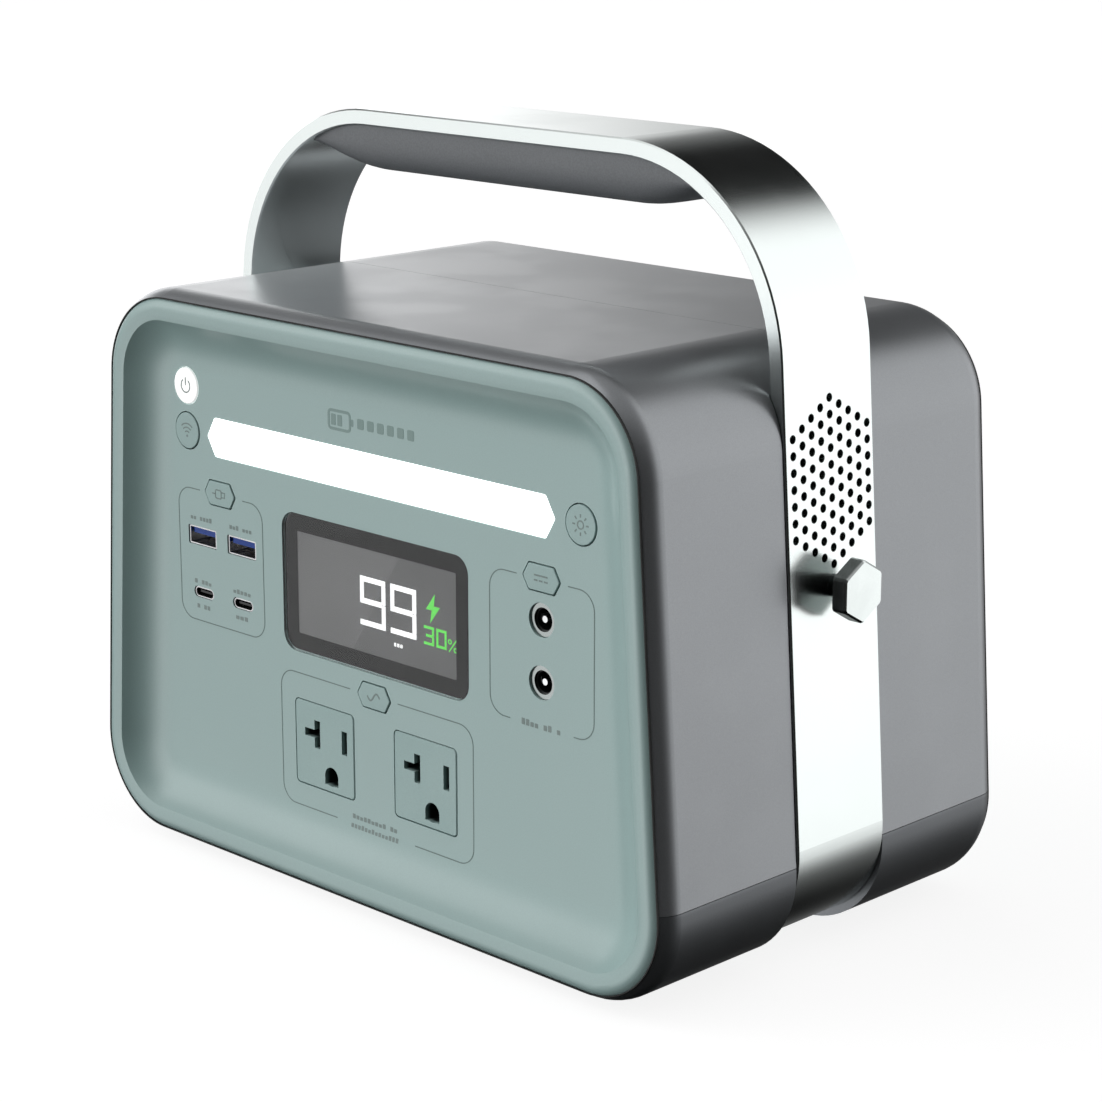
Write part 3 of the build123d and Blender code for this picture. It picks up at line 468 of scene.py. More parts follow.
FINISHES = {   # maker, label, colour or the name of a colour setting, and its other values
    "panel": (skin, "Sage moulding", "panel", dict(rough=0.34, rough_span=0.02, grain=2400.0, bump=0.12,
        tone=0.03, wear=0.16, coat=0.35)),
    "paint": (skin, "Grey paint", "body", dict(rough=0.29, rough_span=0.015, grain=2800.0, bump=0.12,
        tone=0.05, metallic=0.60, wear=0.14)),
    "base": (skin, "Base paint", "base", dict(rough=0.32, rough_span=0.015, grain=2800.0, bump=0.12,
        tone=0.05, metallic=0.60, wear=0.14)),
    "strap": (blasted, "Anodised strap", "metal", dict(rough=0.19)),
    "grip": (skin, "Grip rubber", "grip", dict(rough=0.50, rough_span=0.03, grain=1900.0, bump=0.25,
        tone=0.10, wear=0.1, radius=0.001)),
    "foot": (skin, "Foot rubber", (0.018, 0.018, 0.018), dict(rough=0.7, grain=1600.0, bump=0.3, tone=0.15,
        wear=0.2)),
    "flap": (skin, "Flap rubber", (0.040, 0.050, 0.048), dict(rough=0.62, grain=1800.0, bump=0.3, tone=0.1,
        wear=0.2)),
    "ink": (skin, "Printed ink", "ink", dict(rough=0.5, grain=5000.0, bump=0.05, tone=0.1, wear=0.0)),
    "soft_ink": (skin, "Tone ink", (0.215, 0.315, 0.297), dict(rough=0.42, grain=5000.0, bump=0.05,
        tone=0.05, wear=0.0)),
    "text_ink": (skin, "Grey ink", (0.205, 0.265, 0.253), dict(rough=0.5, grain=5000.0, bump=0.05,
        tone=0.1, wear=0.0)),
    "button": (skin, "Button cap", "panel", dict(rough=0.38, grain=2400.0, bump=0.1, tone=0.03, wear=0.12)),
    "lit": (glow, "Lit diffuser", "light", dict(strength=1.6)),
    "lit_button": (glow, "Lit button", "light", dict(strength=0.55, low=0.9)),
    "digits": (glow, "White segments", "digits", dict(strength=0.80, cloud=200.0, spec=0.05)),
    "charge": (glow, "Green segments", "charge", dict(strength=0.80, cloud=200.0, spec=0.05)),
    "lcd": (glow, "Display backlight", (0.150, 0.150, 0.152), dict(strength=0.40, low=0.96, spec=0.05)),
    # painted reflection: lighter glow of the diagonal patch behind the display glass
    "lcd_sheen": (glow, "Display film", (0.170, 0.170, 0.172), dict(strength=0.44, low=0.96, spec=0.05)),
    "border": (skin, "Display border", (0.032, 0.032, 0.033), dict(rough=0.5, grain=4000.0, bump=0.03,
        tone=0.05, wear=0.0, spec=0.05)),
    "module": (skin, "Display module", (0.03, 0.03, 0.032), dict(rough=0.5, wear=0.1)),
    "black": (skin, "Black moulding", (0.014, 0.014, 0.015), dict(rough=0.45, grain=2600.0, bump=0.2,
        tone=0.2, wear=0.25)),
    "port_black": (skin, "Port insulator", (0.010, 0.010, 0.011), dict(rough=0.35, wear=0.1)),
    "tongue": (skin, "Blue tongue", "tongue", dict(rough=0.32, grain=3000.0, bump=0.06, tone=0.06,
        wear=0.1, spec=0.3)),
    "steel": (metal, "Plated steel", (0.62, 0.62, 0.63), dict(rough=0.26, along=(2500.0, 80.0, 80.0))),
    "chrome": (metal, "Bright plating", (0.86, 0.87, 0.88), dict(rough=0.10, bump=0.02, wear=0.1,
        rough_span=0.03)),
    # ring: plating darkened and tinted green, painted shade of the recessed jack rings
    "ring": (metal, "Ring plating", (0.36, 0.39, 0.385), dict(rough=0.20, bump=0.02, wear=0.3,
        rough_span=0.03)),
    "zinc": (metal, "Zinc plated screws", (0.50, 0.50, 0.52), dict(rough=0.32, wear=0.4)),
    "gold": (metal, "Gold contacts", (0.90, 0.64, 0.22), dict(rough=0.22, wear=0.1)),
    "brass": (metal, "Brass contacts", (0.72, 0.50, 0.20), dict(rough=0.30, wear=0.3)),
    "nickel": (metal, "Nickel strip", (0.66, 0.63, 0.57), dict(rough=0.34, wear=0.2)),
    "board": (skin, "Solder resist", (0.012, 0.110, 0.045), dict(rough=0.30, grain=1200.0, bump=0.2,
        tone=0.25, wear=0.2, coat=0.3)),
    "cell": (skin, "Cell wrap", (0.030, 0.130, 0.300), dict(rough=0.34, grain=900.0, bump=0.1, tone=0.06,
        wear=0.3)),
    "lead": (skin, "Lead insulation", (0.36, 0.020, 0.014), dict(rough=0.5, grain=1500.0, bump=0.15,
        wear=0.1)),
    "sink": (metal, "Extruded aluminium", (0.56, 0.57, 0.58), dict(rough=0.38, along=(2500.0, 60.0, 60.0),
        wear=0.4)),
    "ferrite": (skin, "Ferrite", (0.035, 0.034, 0.034), dict(rough=0.7, grain=1200.0, bump=0.4, tone=0.2,
        wear=0.4)),
    "coil": (metal, "Enamelled copper", (0.70, 0.28, 0.12), dict(rough=0.3, along=(60.0, 60.0, 1500.0),
        bump=0.5)),
    "can": (skin, "Capacitor sleeve", (0.030, 0.034, 0.060), dict(rough=0.3, grain=1200.0, bump=0.08,
        wear=0.3)),
    "mesh": (skin, "Dust mesh", (0.010, 0.010, 0.011), dict(rough=0.8, grain=1500.0, bump=0.5, tone=0.3,
        wear=0.2)),
}
MADE = {}


def finish_of(name):
    """Material by finish name, made once."""
    if name not in MADE:
        maker, label, colour, values = FINISHES[name]
        if isinstance(colour, str):
            colour = getattr(bpy.context.scene.station_colours, colour)
        MADE[name] = maker(label, colour, **values)
    return MADE[name]


def tinted_glass():
    """Tinted window: plain glass, faintly smudged."""
    material, t, shader, where = start_material("Tinted window")
    g = effect(t, "grain", where, Grain=90.0, Cloud=40.0)
    base = t.mix(g.outputs["Gloss"], (0.93, 0.94, 0.94, 1), (0.97, 0.98, 0.98, 1))
    surface(t, shader, base, g.outputs["Gloss"], (0.02, 0.07), g.outputs["Height"], 0.02, 0.01 * MM)
    t.put(shader, "Transmission Weight", 1.0)
    t.put(shader, "IOR", 1.25)
    return material


def peg_finish():
    """Peg: bright turned face, flanks a darker copy of the metal and a near black neck, both painted shade,
    by distance from the middle.
    """
    c = bpy.context.scene.station_colours
    material, t, shader, where = start_material("Anodised peg")
    g = effect(t, "grain", where, Grain=BLAST_GRAIN, Cloud=60.0)
    w = effect(t, "wear", where, Amount=0.4, Radius=METAL_EDGE)
    axes = t.node("ShaderNodeSeparateXYZ", Vector=where)
    out = t.math("ABSOLUTE", axes.outputs["X"])
    face_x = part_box("strap_pegs")[1].x
    # Flanks get the metal at 0.42 and the neck under the head goes near black: painted shade.
    flank = t.ramp(out, face_x - 0.7 * MM, face_x - 0.3 * MM)
    neck = t.ramp(out, face_x - 5.2 * MM, face_x - 4.6 * MM)
    dark = t.mix(neck, (0.035, 0.042, 0.041, 1), rgba(c.metal, 0.42))
    base = t.mix(flank, dark, t.mix(g.outputs["Tone"], rgba(c.metal, 0.975), rgba(c.metal, 1.025)))
    surface(t, shader, t.mix(w.outputs["Mask"], base, (0.9, 0.92, 0.92, 1)), g.outputs["Gloss"],
            (0.22, 0.27), g.outputs["Height"], 0.06, BLAST_DEPTH)
    t.put(shader, "Metallic", 1.0)
    return material


def outlet_finish():
    """Outlet face in panel colour; the slots and the body behind the face fade to near black with depth,
    painted shade in the recesses.
    """
    c = bpy.context.scene.station_colours
    material, t, shader, where = start_material("Outlet moulding")
    g = effect(t, "grain", where, Grain=2400.0)
    w = effect(t, "wear", where, Amount=0.2, Radius=0.0003)
    axes = t.node("ShaderNodeSeparateXYZ", Vector=where)
    # Deeper than the face the colour goes near black: painted shade inside the slots.
    behind = t.ramp(axes.outputs["Y"], PANEL_Y + 0.2 * MM, PANEL_Y + 2.2 * MM)
    face = t.mix(g.outputs["Tone"], rgba(c.panel, 0.965), rgba(c.panel, 1.035))
    face = t.mix(w.outputs["Mask"], face, rgba(c.panel, 1.3))
    surface(t, shader, t.mix(behind, face, (0.016, 0.024, 0.023, 1)), g.outputs["Gloss"], (0.34, 0.48),
            g.outputs["Height"], 0.12, SKIN_DEPTH)
    return material


def paint_node(node, material):
    """Gives a CAD node its finish in every material slot."""
    slots = NODES[node].material_slots
    if not slots:
        NODES[node].data.materials.append(material)
    for slot in slots:
        slot.material = material


def paint_nodes(table):
    for finish, nodes in table.items():
        for node in nodes.split():
            paint_node(node, finish_of(finish))


# ---- stage
CAMERA_AT = (0.61985, -0.61498, 0.33007)
CAMERA_AIM = (-0.68251, 0.68584, -0.25260)
CAMERA_LENS = 93.365
FLOOR_HALF = 4.0
SURROUND = 0.22
# soft lights of the surroundings: azimuth, elevation, half width, half height in degrees, softness, level
LOBES = (
    (0, 90, 44, 44, 0.6, 0.40),
    (-123, -2, 34, 34, 0.45, 2.70),
    (-138, -8, 15, 14, 0.5, 1.05),
    (-144, 33, 17, 14, 0.45, 2.60),
    (54, 8, 36, 32, 0.3, 1.34),
    (62, 36, 26, 22, 0.5, 1.22),
    (156, 7, 21, 18, 0.4, 1.90),
    (-162, -14, 11, 20, 0.5, 0.10),
    (178, 48, 24, 18, 0.5, 0.08),
    (141, 43, 18, 16, 0.5, 0.09),
    (108, 40, 24, 24, 0.45, 0.01),
    (-35, -8, 50, 52, 0.35, 0.02),
    (0, -90, 57, 57, 0.2, 0.0),
)


def build_world(level):
    """Studio surroundings: a level grey with soft oval lights. A light's strength is a smooth step of
    the length of the view direction's parts across and up from its axis, each over its half size."""
    world = bpy.data.worlds.new("Studio")
    bpy.context.scene.world = world
    world.use_nodes = True
    world.node_tree.nodes.clear()
    t = Tree(world.node_tree)
    view = t.node("ShaderNodeTexCoord").outputs["Generated"]

    def part(direction):
        item = t.node("ShaderNodeVectorMath", {"operation": "DOT_PRODUCT"})
        t.put(item, "0", view)
        t.put(item, "1", tuple(direction))
        return item.outputs["Value"]

    value = SURROUND
    for azimuth, rise, wide, high, soft, lobe in LOBES:
        az, el = math.radians(azimuth), math.radians(rise)
        ahead = Vector((math.cos(az) * math.cos(el), math.sin(az) * math.cos(el), math.sin(el)))
        across = Vector((-math.sin(az), math.cos(az), 0.0))
        up = ahead.cross(across)
        u = t.math("POWER", part(across / math.sin(math.radians(wide))), 2.0)
        v = t.math("POWER", part(up / math.sin(math.radians(high))), 2.0)
        inside = t.ramp(t.math("SQRT", t.math("ADD", u, v)), 1.0 + soft, 1.0 - soft)
        inside = t.math("MULTIPLY", inside, t.math("GREATER_THAN", part(ahead), 0.0))
        step = t.math("SUBTRACT", lobe, value)
        value = t.math("ADD", value, t.math("MULTIPLY", inside, step))
    seen = t.node("ShaderNodeLightPath").outputs["Is Camera Ray"]
    value = t.math("ADD", value, t.math("MULTIPLY", seen, t.math("SUBTRACT", 1.0, value)))
    back = t.node("ShaderNodeBackground", Color=(1.0, 1.0, 1.0, 1.0),
                  Strength=t.math("MULTIPLY", value, level))
    out = t.node("ShaderNodeOutputWorld")
    t.tree.links.new(back.outputs[0], out.inputs["Surface"])


class STATION_OT_stage(bpy.types.Operator):
    """Pale floor, soft studio light and the camera"""
    bl_idname = "station.stage"
    bl_label = "Stage"

    def execute(self, context):
        stage = context.scene.station_stage
        build_world(stage.surround)
        mesh = bpy.data.meshes.new("stage_floor")
        corners = [(-FLOOR_HALF, -FLOOR_HALF, 0), (FLOOR_HALF, -FLOOR_HALF, 0),
                   (FLOOR_HALF, FLOOR_HALF, 0), (-FLOOR_HALF, FLOOR_HALF, 0)]
        mesh.from_pydata(corners, [], [(0, 1, 2, 3)])
        floor = bpy.data.objects.new("stage_floor", mesh)
        context.scene.collection.objects.link(floor)
        material, t, shader, where = start_material("Pale floor")
        cloud = t.node("ShaderNodeTexNoise", Vector=where, Scale=3.0, Detail=2.0)
        t.put(shader, "Base Color", t.mix(cloud.outputs["Fac"], rgba((0.295,) * 3), rgba((0.30,) * 3)))
        t.put(shader, "Roughness", 0.9)
        t.put(shader, "Specular IOR Level", 0.0)
        t.put(shader, "Emission Color", (1.0, 1.0, 1.0, 1.0))
        t.put(shader, "Emission Strength", stage.floor)
        mesh.materials.append(material)
        floor.visible_glossy = False
        floor.visible_diffuse = False
        floor.visible_transmission = False
        lamp = bpy.data.lights.new("soft_box", "AREA")
        lamp.shape, lamp.size, lamp.size_y, lamp.energy = "RECTANGLE", 1.2, 0.9, stage.key
        box = bpy.data.objects.new("soft_box", lamp)
        box.location = (-0.5, -0.5, 1.3)
        box.rotation_mode = "QUATERNION"
        box.rotation_quaternion = (Vector(box.location) - Vector((0, 0, 0.1))).to_track_quat("Z", "Y")
        box.visible_camera = False
        context.scene.collection.objects.link(box)
        data = bpy.data.cameras.new("camera")
        data.lens, data.sensor_width = CAMERA_LENS, 36.0
        data.clip_start, data.clip_end = 0.01, 50.0
        camera = bpy.data.objects.new("camera", data)
        camera.location = CAMERA_AT
        camera.rotation_mode = "QUATERNION"
        camera.rotation_quaternion = Vector(CAMERA_AIM).to_track_quat("-Z", "Y")
        context.scene.collection.objects.link(camera)
        context.scene.camera = camera
        context.scene.view_settings.view_transform = "Standard"
        context.scene.view_settings.look = "None"
        return {"FINISHED"}


# ---- shells, covers, strap
class STATION_OT_shells(bpy.types.Operator):
    """Painted shells, moulded covers and the metal strap"""
    bl_idname = "station.shells"
    bl_label = "Shells and strap"

    def execute(self, context):
        paint_nodes({"panel": "front_bezel rear_cover", "paint": "front_shell rear_shell",
                     "base": "base_tray",
                     "strap": "handle_strap", "zinc": "peg_nuts", "mesh": "vent_meshes"})
        paint_node("strap_pegs", peg_finish())
        return {"FINISHED"}


def seam_outline():
    """Outline where a cover meets the shells, in X and Z: corner arcs of radius r whose centres stand r
    inside the level edges and the leaning sides, joined by those sides."""
    r = CORNER_R - SEAM_IN
    lean = math.degrees(math.atan(SIDE_LEAN))
    slant = math.hypot(1.0, SIDE_LEAN)

    def centre_x(z):
        return BASE_HALF - SIDE_LEAN * (z - BODY_LOW) - (SEAM_IN + r) * slant

    low, high = BODY_LOW + SEAM_IN + r, BODY_HIGH - SEAM_IN - r
    right = np.concatenate([arc(centre_x(low), low, r, -90, lean, 24),
                            arc(centre_x(high), high, r, lean, 90, 24)])
    return np.concatenate([right, right[::-1] * (-1, 1)])


class STATION_OT_seals(bpy.types.Operator):
    """Dark seals in the seams between the covers and the shells"""
    bl_idname = "station.seals"
    bl_label = "Seam seals"

    def execute(self, context):
        width = context.scene.station_sizes.seal
        for name, y in (("front_seal", -SEAM_Y), ("rear_seal", SEAM_Y)):
            back = y + math.copysign(SEAL_PROUD, y) + SEAL_PROUD * 4
            ring = stroke(seam_outline(), width, back, closed=True, lift=SEAL_PROUD * 8)
            make_object(name, [ring], "foot")
        return {"FINISHED"}


def strap_inner(x):
    """Height of the strap's underside over X: flat, then the circle that the bend follows."""
    low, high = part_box("grip_pad")
    radius, centre_x, centre_z = 57.0 * MM, 55.46 * MM, high.z - 56.95 * MM
    off = np.clip(np.abs(x) - centre_x, 0, radius * 0.999)
    return centre_z + np.sqrt((radius - 0.05 * MM) ** 2 - off ** 2)


class STATION_OT_grip(bpy.types.Operator):
    """Soft grip pad under the top of the strap"""
    bl_idname = "station.grip"
    bl_label = "Grip"

    def execute(self, context):
        low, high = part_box("grip_pad")
        half_l, half_w = high.x - 0.3 * MM, high.y - 0.1 * MM
        flat = 54.0 * MM
        power = 2.0 / context.scene.station_sizes.grip_round
        u = np.linspace(-1, 1, 97)
        x = half_l * np.sin(u * np.pi / 2)
        away = np.clip((np.abs(x) - flat) / (half_l - flat), 0, 1)
        top = np.minimum(strap_inner(x), high.z) - 0.02 * MM
        under = low.z + 0.02 * MM + 8.0 * MM * away ** 2
        depth = np.maximum(top - under, 0.05 * MM)
        width = half_w * (1 - 0.08 * away ** 3)
        t = np.linspace(0, np.pi, 33)
        y = np.sign(np.cos(t)) * np.abs(np.cos(t)) ** power
        s = np.abs(np.sin(t)) ** power
        back = np.linspace(-1, 1, 9)[1:-1]
        y, s = np.concatenate([y, back]), np.concatenate([s, 0 * back])
        verts = np.stack([np.repeat(x[:, None], len(y), 1), width[:, None] * y[None],
                          top[:, None] - depth[:, None] * s[None]], -1)
        rows, cols = len(x), len(y)
        faces = grid_faces(rows, cols)
        faces += [list(range(cols))[::-1], [(rows - 1) * cols + k for k in range(cols)]]
        make_object("grip_pad_soft", [(verts, faces)], "grip", smooth=True, replaces=("grip_pad",))
        return {"FINISHED"}


# ---- printed lines
FRAMES = (   # x0, x1, z0, z1 and the gaps (upper edge?, x0, x1), millimetres
    (-92.8, -51.1, 76.3, 119.6, ((True, -81.7, -60.8),)),
    (50.6, 92.4, 76.0, 119.6, ((True, 61.9, 81.8), (False, 59.2, 84.4))),
    (-43.7, 43.3, 25.9, 69.2, ((True, -10.6, 10.3), (False, -17.9, 17.6))),
)
LABELS = (   # x0, x1, middle z, height, marks, millimetres
    (-86.9, -76.0, 110.3, 1.5, 7), (-67.4, -56.2, 110.3, 1.5, 7),
    (-85.8, -77.0, 89.3, 1.4, 5), (-66.3, -57.4, 89.6, 1.4, 5),
    (-84.9, -78.0, 81.1, 1.4, 4), (-65.3, -58.9, 81.2, 1.4, 3),
    (63.6, 79.6, 76.2, 1.9, 9), (-10.8, 9.9, 28.4, 1.5, 12), (-11.3, 10.6, 25.4, 1.5, 14),
)


def mark_row(x0, x1, z, height, count, seed):
    """Row of small blank blocks where a printed caption would be: equal pitch, varied heights."""
    rng = np.random.default_rng(seed)
    pitch = (x1 - x0) / count
    tall = rng.choice([0.72, 0.85, 1.0], count)
    gap = rng.random(count) < 0.12
    parts = []
    for k in range(count):
        if gap[k] and 0 < k < count - 1:
            continue
        a, b = x0 + pitch * k, x0 + pitch * (k + 0.72)
        foot = z - height / 2
        points, faces = plate(rounded_rect(a, b, foot, foot + height * tall[k], 0.12 * MM, 3),
                              -INK_T, 0.4 * INK_T)
        points[:, 1] += panel_y(points[:, 2])
        parts.append((points, faces))
    return parts


class STATION_OT_prints(bpy.types.Operator):
    """Printed frames, blank captions and the battery sign on the panel"""
    bl_idname = "station.prints"
    bl_label = "Panel print"

    def execute(self, context):
        sizes = context.scene.station_sizes
        lines = []
        for x0, x1, z0, z1, gaps in FRAMES:
            outline = rounded_rect(x0 * MM, x1 * MM, z0 * MM, z1 * MM, sizes.frame_r, 12)
            for run in slice_path(outline, [(up, a * MM, b * MM) for up, a, b in gaps]):
                lines.append(stroke(run, sizes.line))
        make_object("panel_frames", lines, "ink")
        marks = []
        for k, (x0, x1, z, height, count) in enumerate(LABELS):
            marks += mark_row(x0 * MM, x1 * MM, z * MM, height * MM, count, 11 + k)
        make_object("panel_captions", marks, "text_ink")
        sign = battery_sign(-13.7 * MM, 152.4 * MM, 9.6 * MM, 5.6 * MM, 0.9 * MM)
        for k in range(6):
            a = (-5.6 + 4.4 * k) * MM
            sign.append(plate(rounded_rect(a, a + 2.9 * MM, 151.0 * MM, 154.2 * MM, 0.5 * MM, 4),
                              PANEL_Y - INK_T, PANEL_Y))
        make_object("panel_sign", sign, "soft_ink")
        return {"FINISHED"}


def battery_sign(x, z, w, h, line):
    """Outline of a battery with its terminal and two charge bars."""
    y = PANEL_Y
    outline = rounded_rect(x - w / 2, x + w / 2, z - h / 2, z + h / 2, h * 0.2, 5)
    parts = [stroke(outline, line, y, closed=True)]
    end = x + w / 2
    parts.append(plate(rounded_rect(end + line * 0.6, end + line * 1.7, z - h * 0.2, z + h * 0.2,
                                    line * 0.4, 3), y - INK_T, y))
    for k in (0, 1):
        a = x - w / 2 + line * 1.2 + k * w * 0.3
        parts.append(plate(rounded_rect(a, a + w * 0.22, z - h / 2 + line * 1.2, z + h / 2 - line * 1.2,
                                        line * 0.3, 3), y - INK_T, y))
    return parts


# ---- buttons
def sign_centre(node):
    low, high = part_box(node)
    return (low.x + high.x) / 2, (low.z + high.z) / 2, low.y


def power_sign(x, z, y, line):
    """Broken ring and a bar through its gap."""
    r = 2.15 * MM
    return [stroke(arc(x, z, r, 125, 415, 40), line, y),
            bar(x, z + 0.2 * MM, x, z + 2.7 * MM, line, y)]


def wireless_sign(x, z, y, line):
    """Three arcs over a dot."""
    foot = z - 1.7 * MM
    parts = [stroke(arc(x, foot, r * MM, 48, 132, 20), line, y) for r in (1.5, 2.75, 4.0)]
    return parts + [plate(arc(x, foot, 0.42 * MM, 0, 348, 16), y - INK_T, y)]


def lamp_sign(x, z, y, line):
    """Small ring with eight short rays."""
    parts = [stroke(arc(x, z, 1.15 * MM, 0, 350, 28), line, y, closed=True)]
    for k in range(8):
        c, s = math.cos(k * math.pi / 4), math.sin(k * math.pi / 4)
        near, far = 2.1 * MM, 3.1 * MM
        parts.append(bar(x + c * near, z + s * near, x + c * far, z + s * far, line * 1.1, y))
    return parts


def plug_sign(x, z, y, line):
    """Data plug: a body, a narrower nose and its lead."""
    parts = [stroke(rounded_rect(x - 1.9 * MM, x + 0.9 * MM, z - 1.35 * MM, z + 1.35 * MM, 0.5 * MM, 5),
                    line, y, closed=True)]
    parts.append(stroke([(x + 0.9 * MM, z + 0.8 * MM), (x + 2.6 * MM, z + 0.8 * MM),
                         (x + 2.6 * MM, z - 0.8 * MM), (x + 0.9 * MM, z - 0.8 * MM)], line, y))
    parts.append(bar(x - 1.9 * MM, z, x - 3.6 * MM, z, line, y))
    return parts


def direct_sign(x, z, y, line):
    """Long bar over three dashes: direct current."""
    up = 0.75 * MM
    parts = [bar(x - 2.7 * MM, z + up, x + 2.7 * MM, z + up, line * 1.2, y)]
    for k in (-1, 0, 1):
        a = x + k * 2.0 * MM
        parts.append(bar(a - 0.7 * MM, z - up, a + 0.7 * MM, z - up, line * 1.2, y))
    return parts


def alternating_sign(x, z, y, line):
    """One wave: alternating current."""
    a = np.linspace(-1, 1, 41)
    wave = np.stack([x + a * 2.8 * MM, z + np.sin(a * np.pi) * 1.25 * MM], 1)
    return [stroke(wave, line * 1.3, y)]


SIGNS = {"power_button": power_sign, "wireless_button": wireless_sign, "lamp_button": lamp_sign,
         "usb_button": plug_sign, "dc_button": direct_sign, "ac_button": alternating_sign}


class STATION_OT_buttons(bpy.types.Operator):
    """Button caps, their signs, the light bar and the switches behind them"""
    bl_idname = "station.buttons"
    bl_label = "Buttons and light bar"

    def execute(self, context):
        line = context.scene.station_sizes.mark
        paint_nodes({"lit": "light_bar_lens", "lit_button": "power_button",
                     "button": "wireless_button lamp_button usb_button dc_button ac_button",
                     "black": "button_switches", "digits": "light_bar_lamps"})
        for node, sign in SIGNS.items():
            x, z, y = sign_centre(node)
            make_object(node + "_sign", sign(x, z, y, line), "text_ink", body=node)
        return {"FINISHED"}


# ---- display
SEGMENTS = {"3": "abcdg", "0": "abcdef", "9": "abcdfg"}


def digit_bars(shape, x, z, w, h, s):
    """Seven-segment digit: each lit bar as a rectangle (x0, x1, z0, z1)."""
    mid, gap = z + h / 2, s * 0.07
    left, right = (x, x + s), (x + w - s, x + w)
    upper, lower = (mid + gap, z + h - s - gap), (z + s + gap, mid - gap)
    bars = {"a": (x, x + w, z + h - s, z + h), "d": (x, x + w, z, z + s),
            "g": (x + s + gap, x + w - s - gap, mid - s / 2, mid + s / 2),
            "f": (*left, mid - s / 2, upper[1]), "b": right + upper, "e": left + lower, "c": right + lower}
    return [bars[k] for k in SEGMENTS[shape]]


class STATION_OT_display(bpy.types.Operator):
    """Tinted window, dark border, backlight, digits and the small green signs"""
    bl_idname = "station.display"
    bl_label = "Display"

    def execute(self, context):
        glass_low, glass_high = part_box("display_window")
        y = glass_high.y
        paint_node("display_window", tinted_glass())
        paint_nodes({"module": "lcd_module", "digits": "lcd_segments"})
        low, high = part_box("lcd_segments")
        tall, wide, line = high.z - low.z, 11.3 * MM, 1.65 * MM
        large = []
        for x in (low.x, high.x - wide):
            large += [box_part(a, b, low.y, high.y, c, d)
                      for a, b, c, d in digit_bars("9", x, low.z, wide, tall, line)]
        make_object("display_digits", large, "digits", replaces=("lcd_segments",))
        x0, x1, z0, z1 = -35.5 * MM, 35.5 * MM, 81.9 * MM, 114.4 * MM
        outer = rounded_rect(glass_low.x + 0.3 * MM, glass_high.x - 0.3 * MM, glass_low.z + 0.3 * MM,
                             glass_high.z - 0.3 * MM, 5.2 * MM, 10)
        inner = rounded_rect(x0, x1, z0, z1, 0.4 * MM, 10)
        n = len(outer)
        verts = np.zeros((4, n, 3))
        loops = ((outer, 0.02), (inner, 0.02), (inner, 0.05), (outer, 0.05))
        for k, (loop, depth) in enumerate(loops):
            verts[k, :, 0], verts[k, :, 1], verts[k, :, 2] = loop[:, 0], y + depth * MM, loop[:, 1]
        faces = grid_faces(4, n)
        faces += [[3 * n + k, 3 * n + (k + 1) % n, (k + 1) % n, k] for k in range(n)]
        make_object("display_border", [(verts, faces)], "border")
        back = box_part(x0 - MM, x1 + MM, y + 0.28 * MM, y + 0.34 * MM, z0 - MM, z1 + MM)
        make_object("display_backlight", [back], "lcd")
        # Lighter patch left of a diagonal, glowing behind the glass: a painted reflection in the display
        # window.
        top_x, low_x = 12.0 * MM, -12.2 * MM
        reflection_patch = plate([(x0, z0), (low_x + 1.6 * MM, z0), (top_x - 1.4 * MM, z1), (x0, z1)],
                     y + 0.24 * MM, y + 0.27 * MM)
        make_object("display_film", [reflection_patch], "lcd_sheen")
        lit = (y + 0.15 * MM, y + 0.22 * MM)
        bars = []
        for shape, dx in (("3", 21.4), ("0", 26.8)):
            bars += digit_bars(shape, dx * MM, 90.1 * MM, 4.4 * MM, 5.8 * MM, 0.85 * MM)
        percent = [box_part(a, b, *lit, c, d) for a, b, c, d in bars]
        for cx, cz in ((32.6, 93.0), (35.0, 90.8)):
            percent.append(stroke(arc(cx * MM, cz * MM, 0.62 * MM, 0, 345, 18), 0.42 * MM, y + 0.22 * MM,
                                  closed=True, lift=0.07 * MM))
        percent.append(bar(32.2 * MM, 89.9 * MM, 35.4 * MM, 93.9 * MM, 0.42 * MM, y + 0.22 * MM,
                           lift=0.07 * MM))
        bolt = np.array([(0.9, 4.6), (-3.0, -0.6), (-0.5, -0.6), (-1.2, -4.6), (3.0, 0.8), (0.4, 0.8)])
        percent.append(plate(bolt * MM + (25.4 * MM, 101.6 * MM), *lit))
        make_object("charge_digits", percent, "charge")
        dots = [plate(rounded_rect((8.2 + 1.4 * k) * MM, (9.1 + 1.4 * k) * MM, 86.6 * MM, 87.7 * MM,
                                   0.15 * MM, 3), *lit) for k in range(3)]
        make_object("unit_marks", dots, "digits")
        return {"FINISHED"}


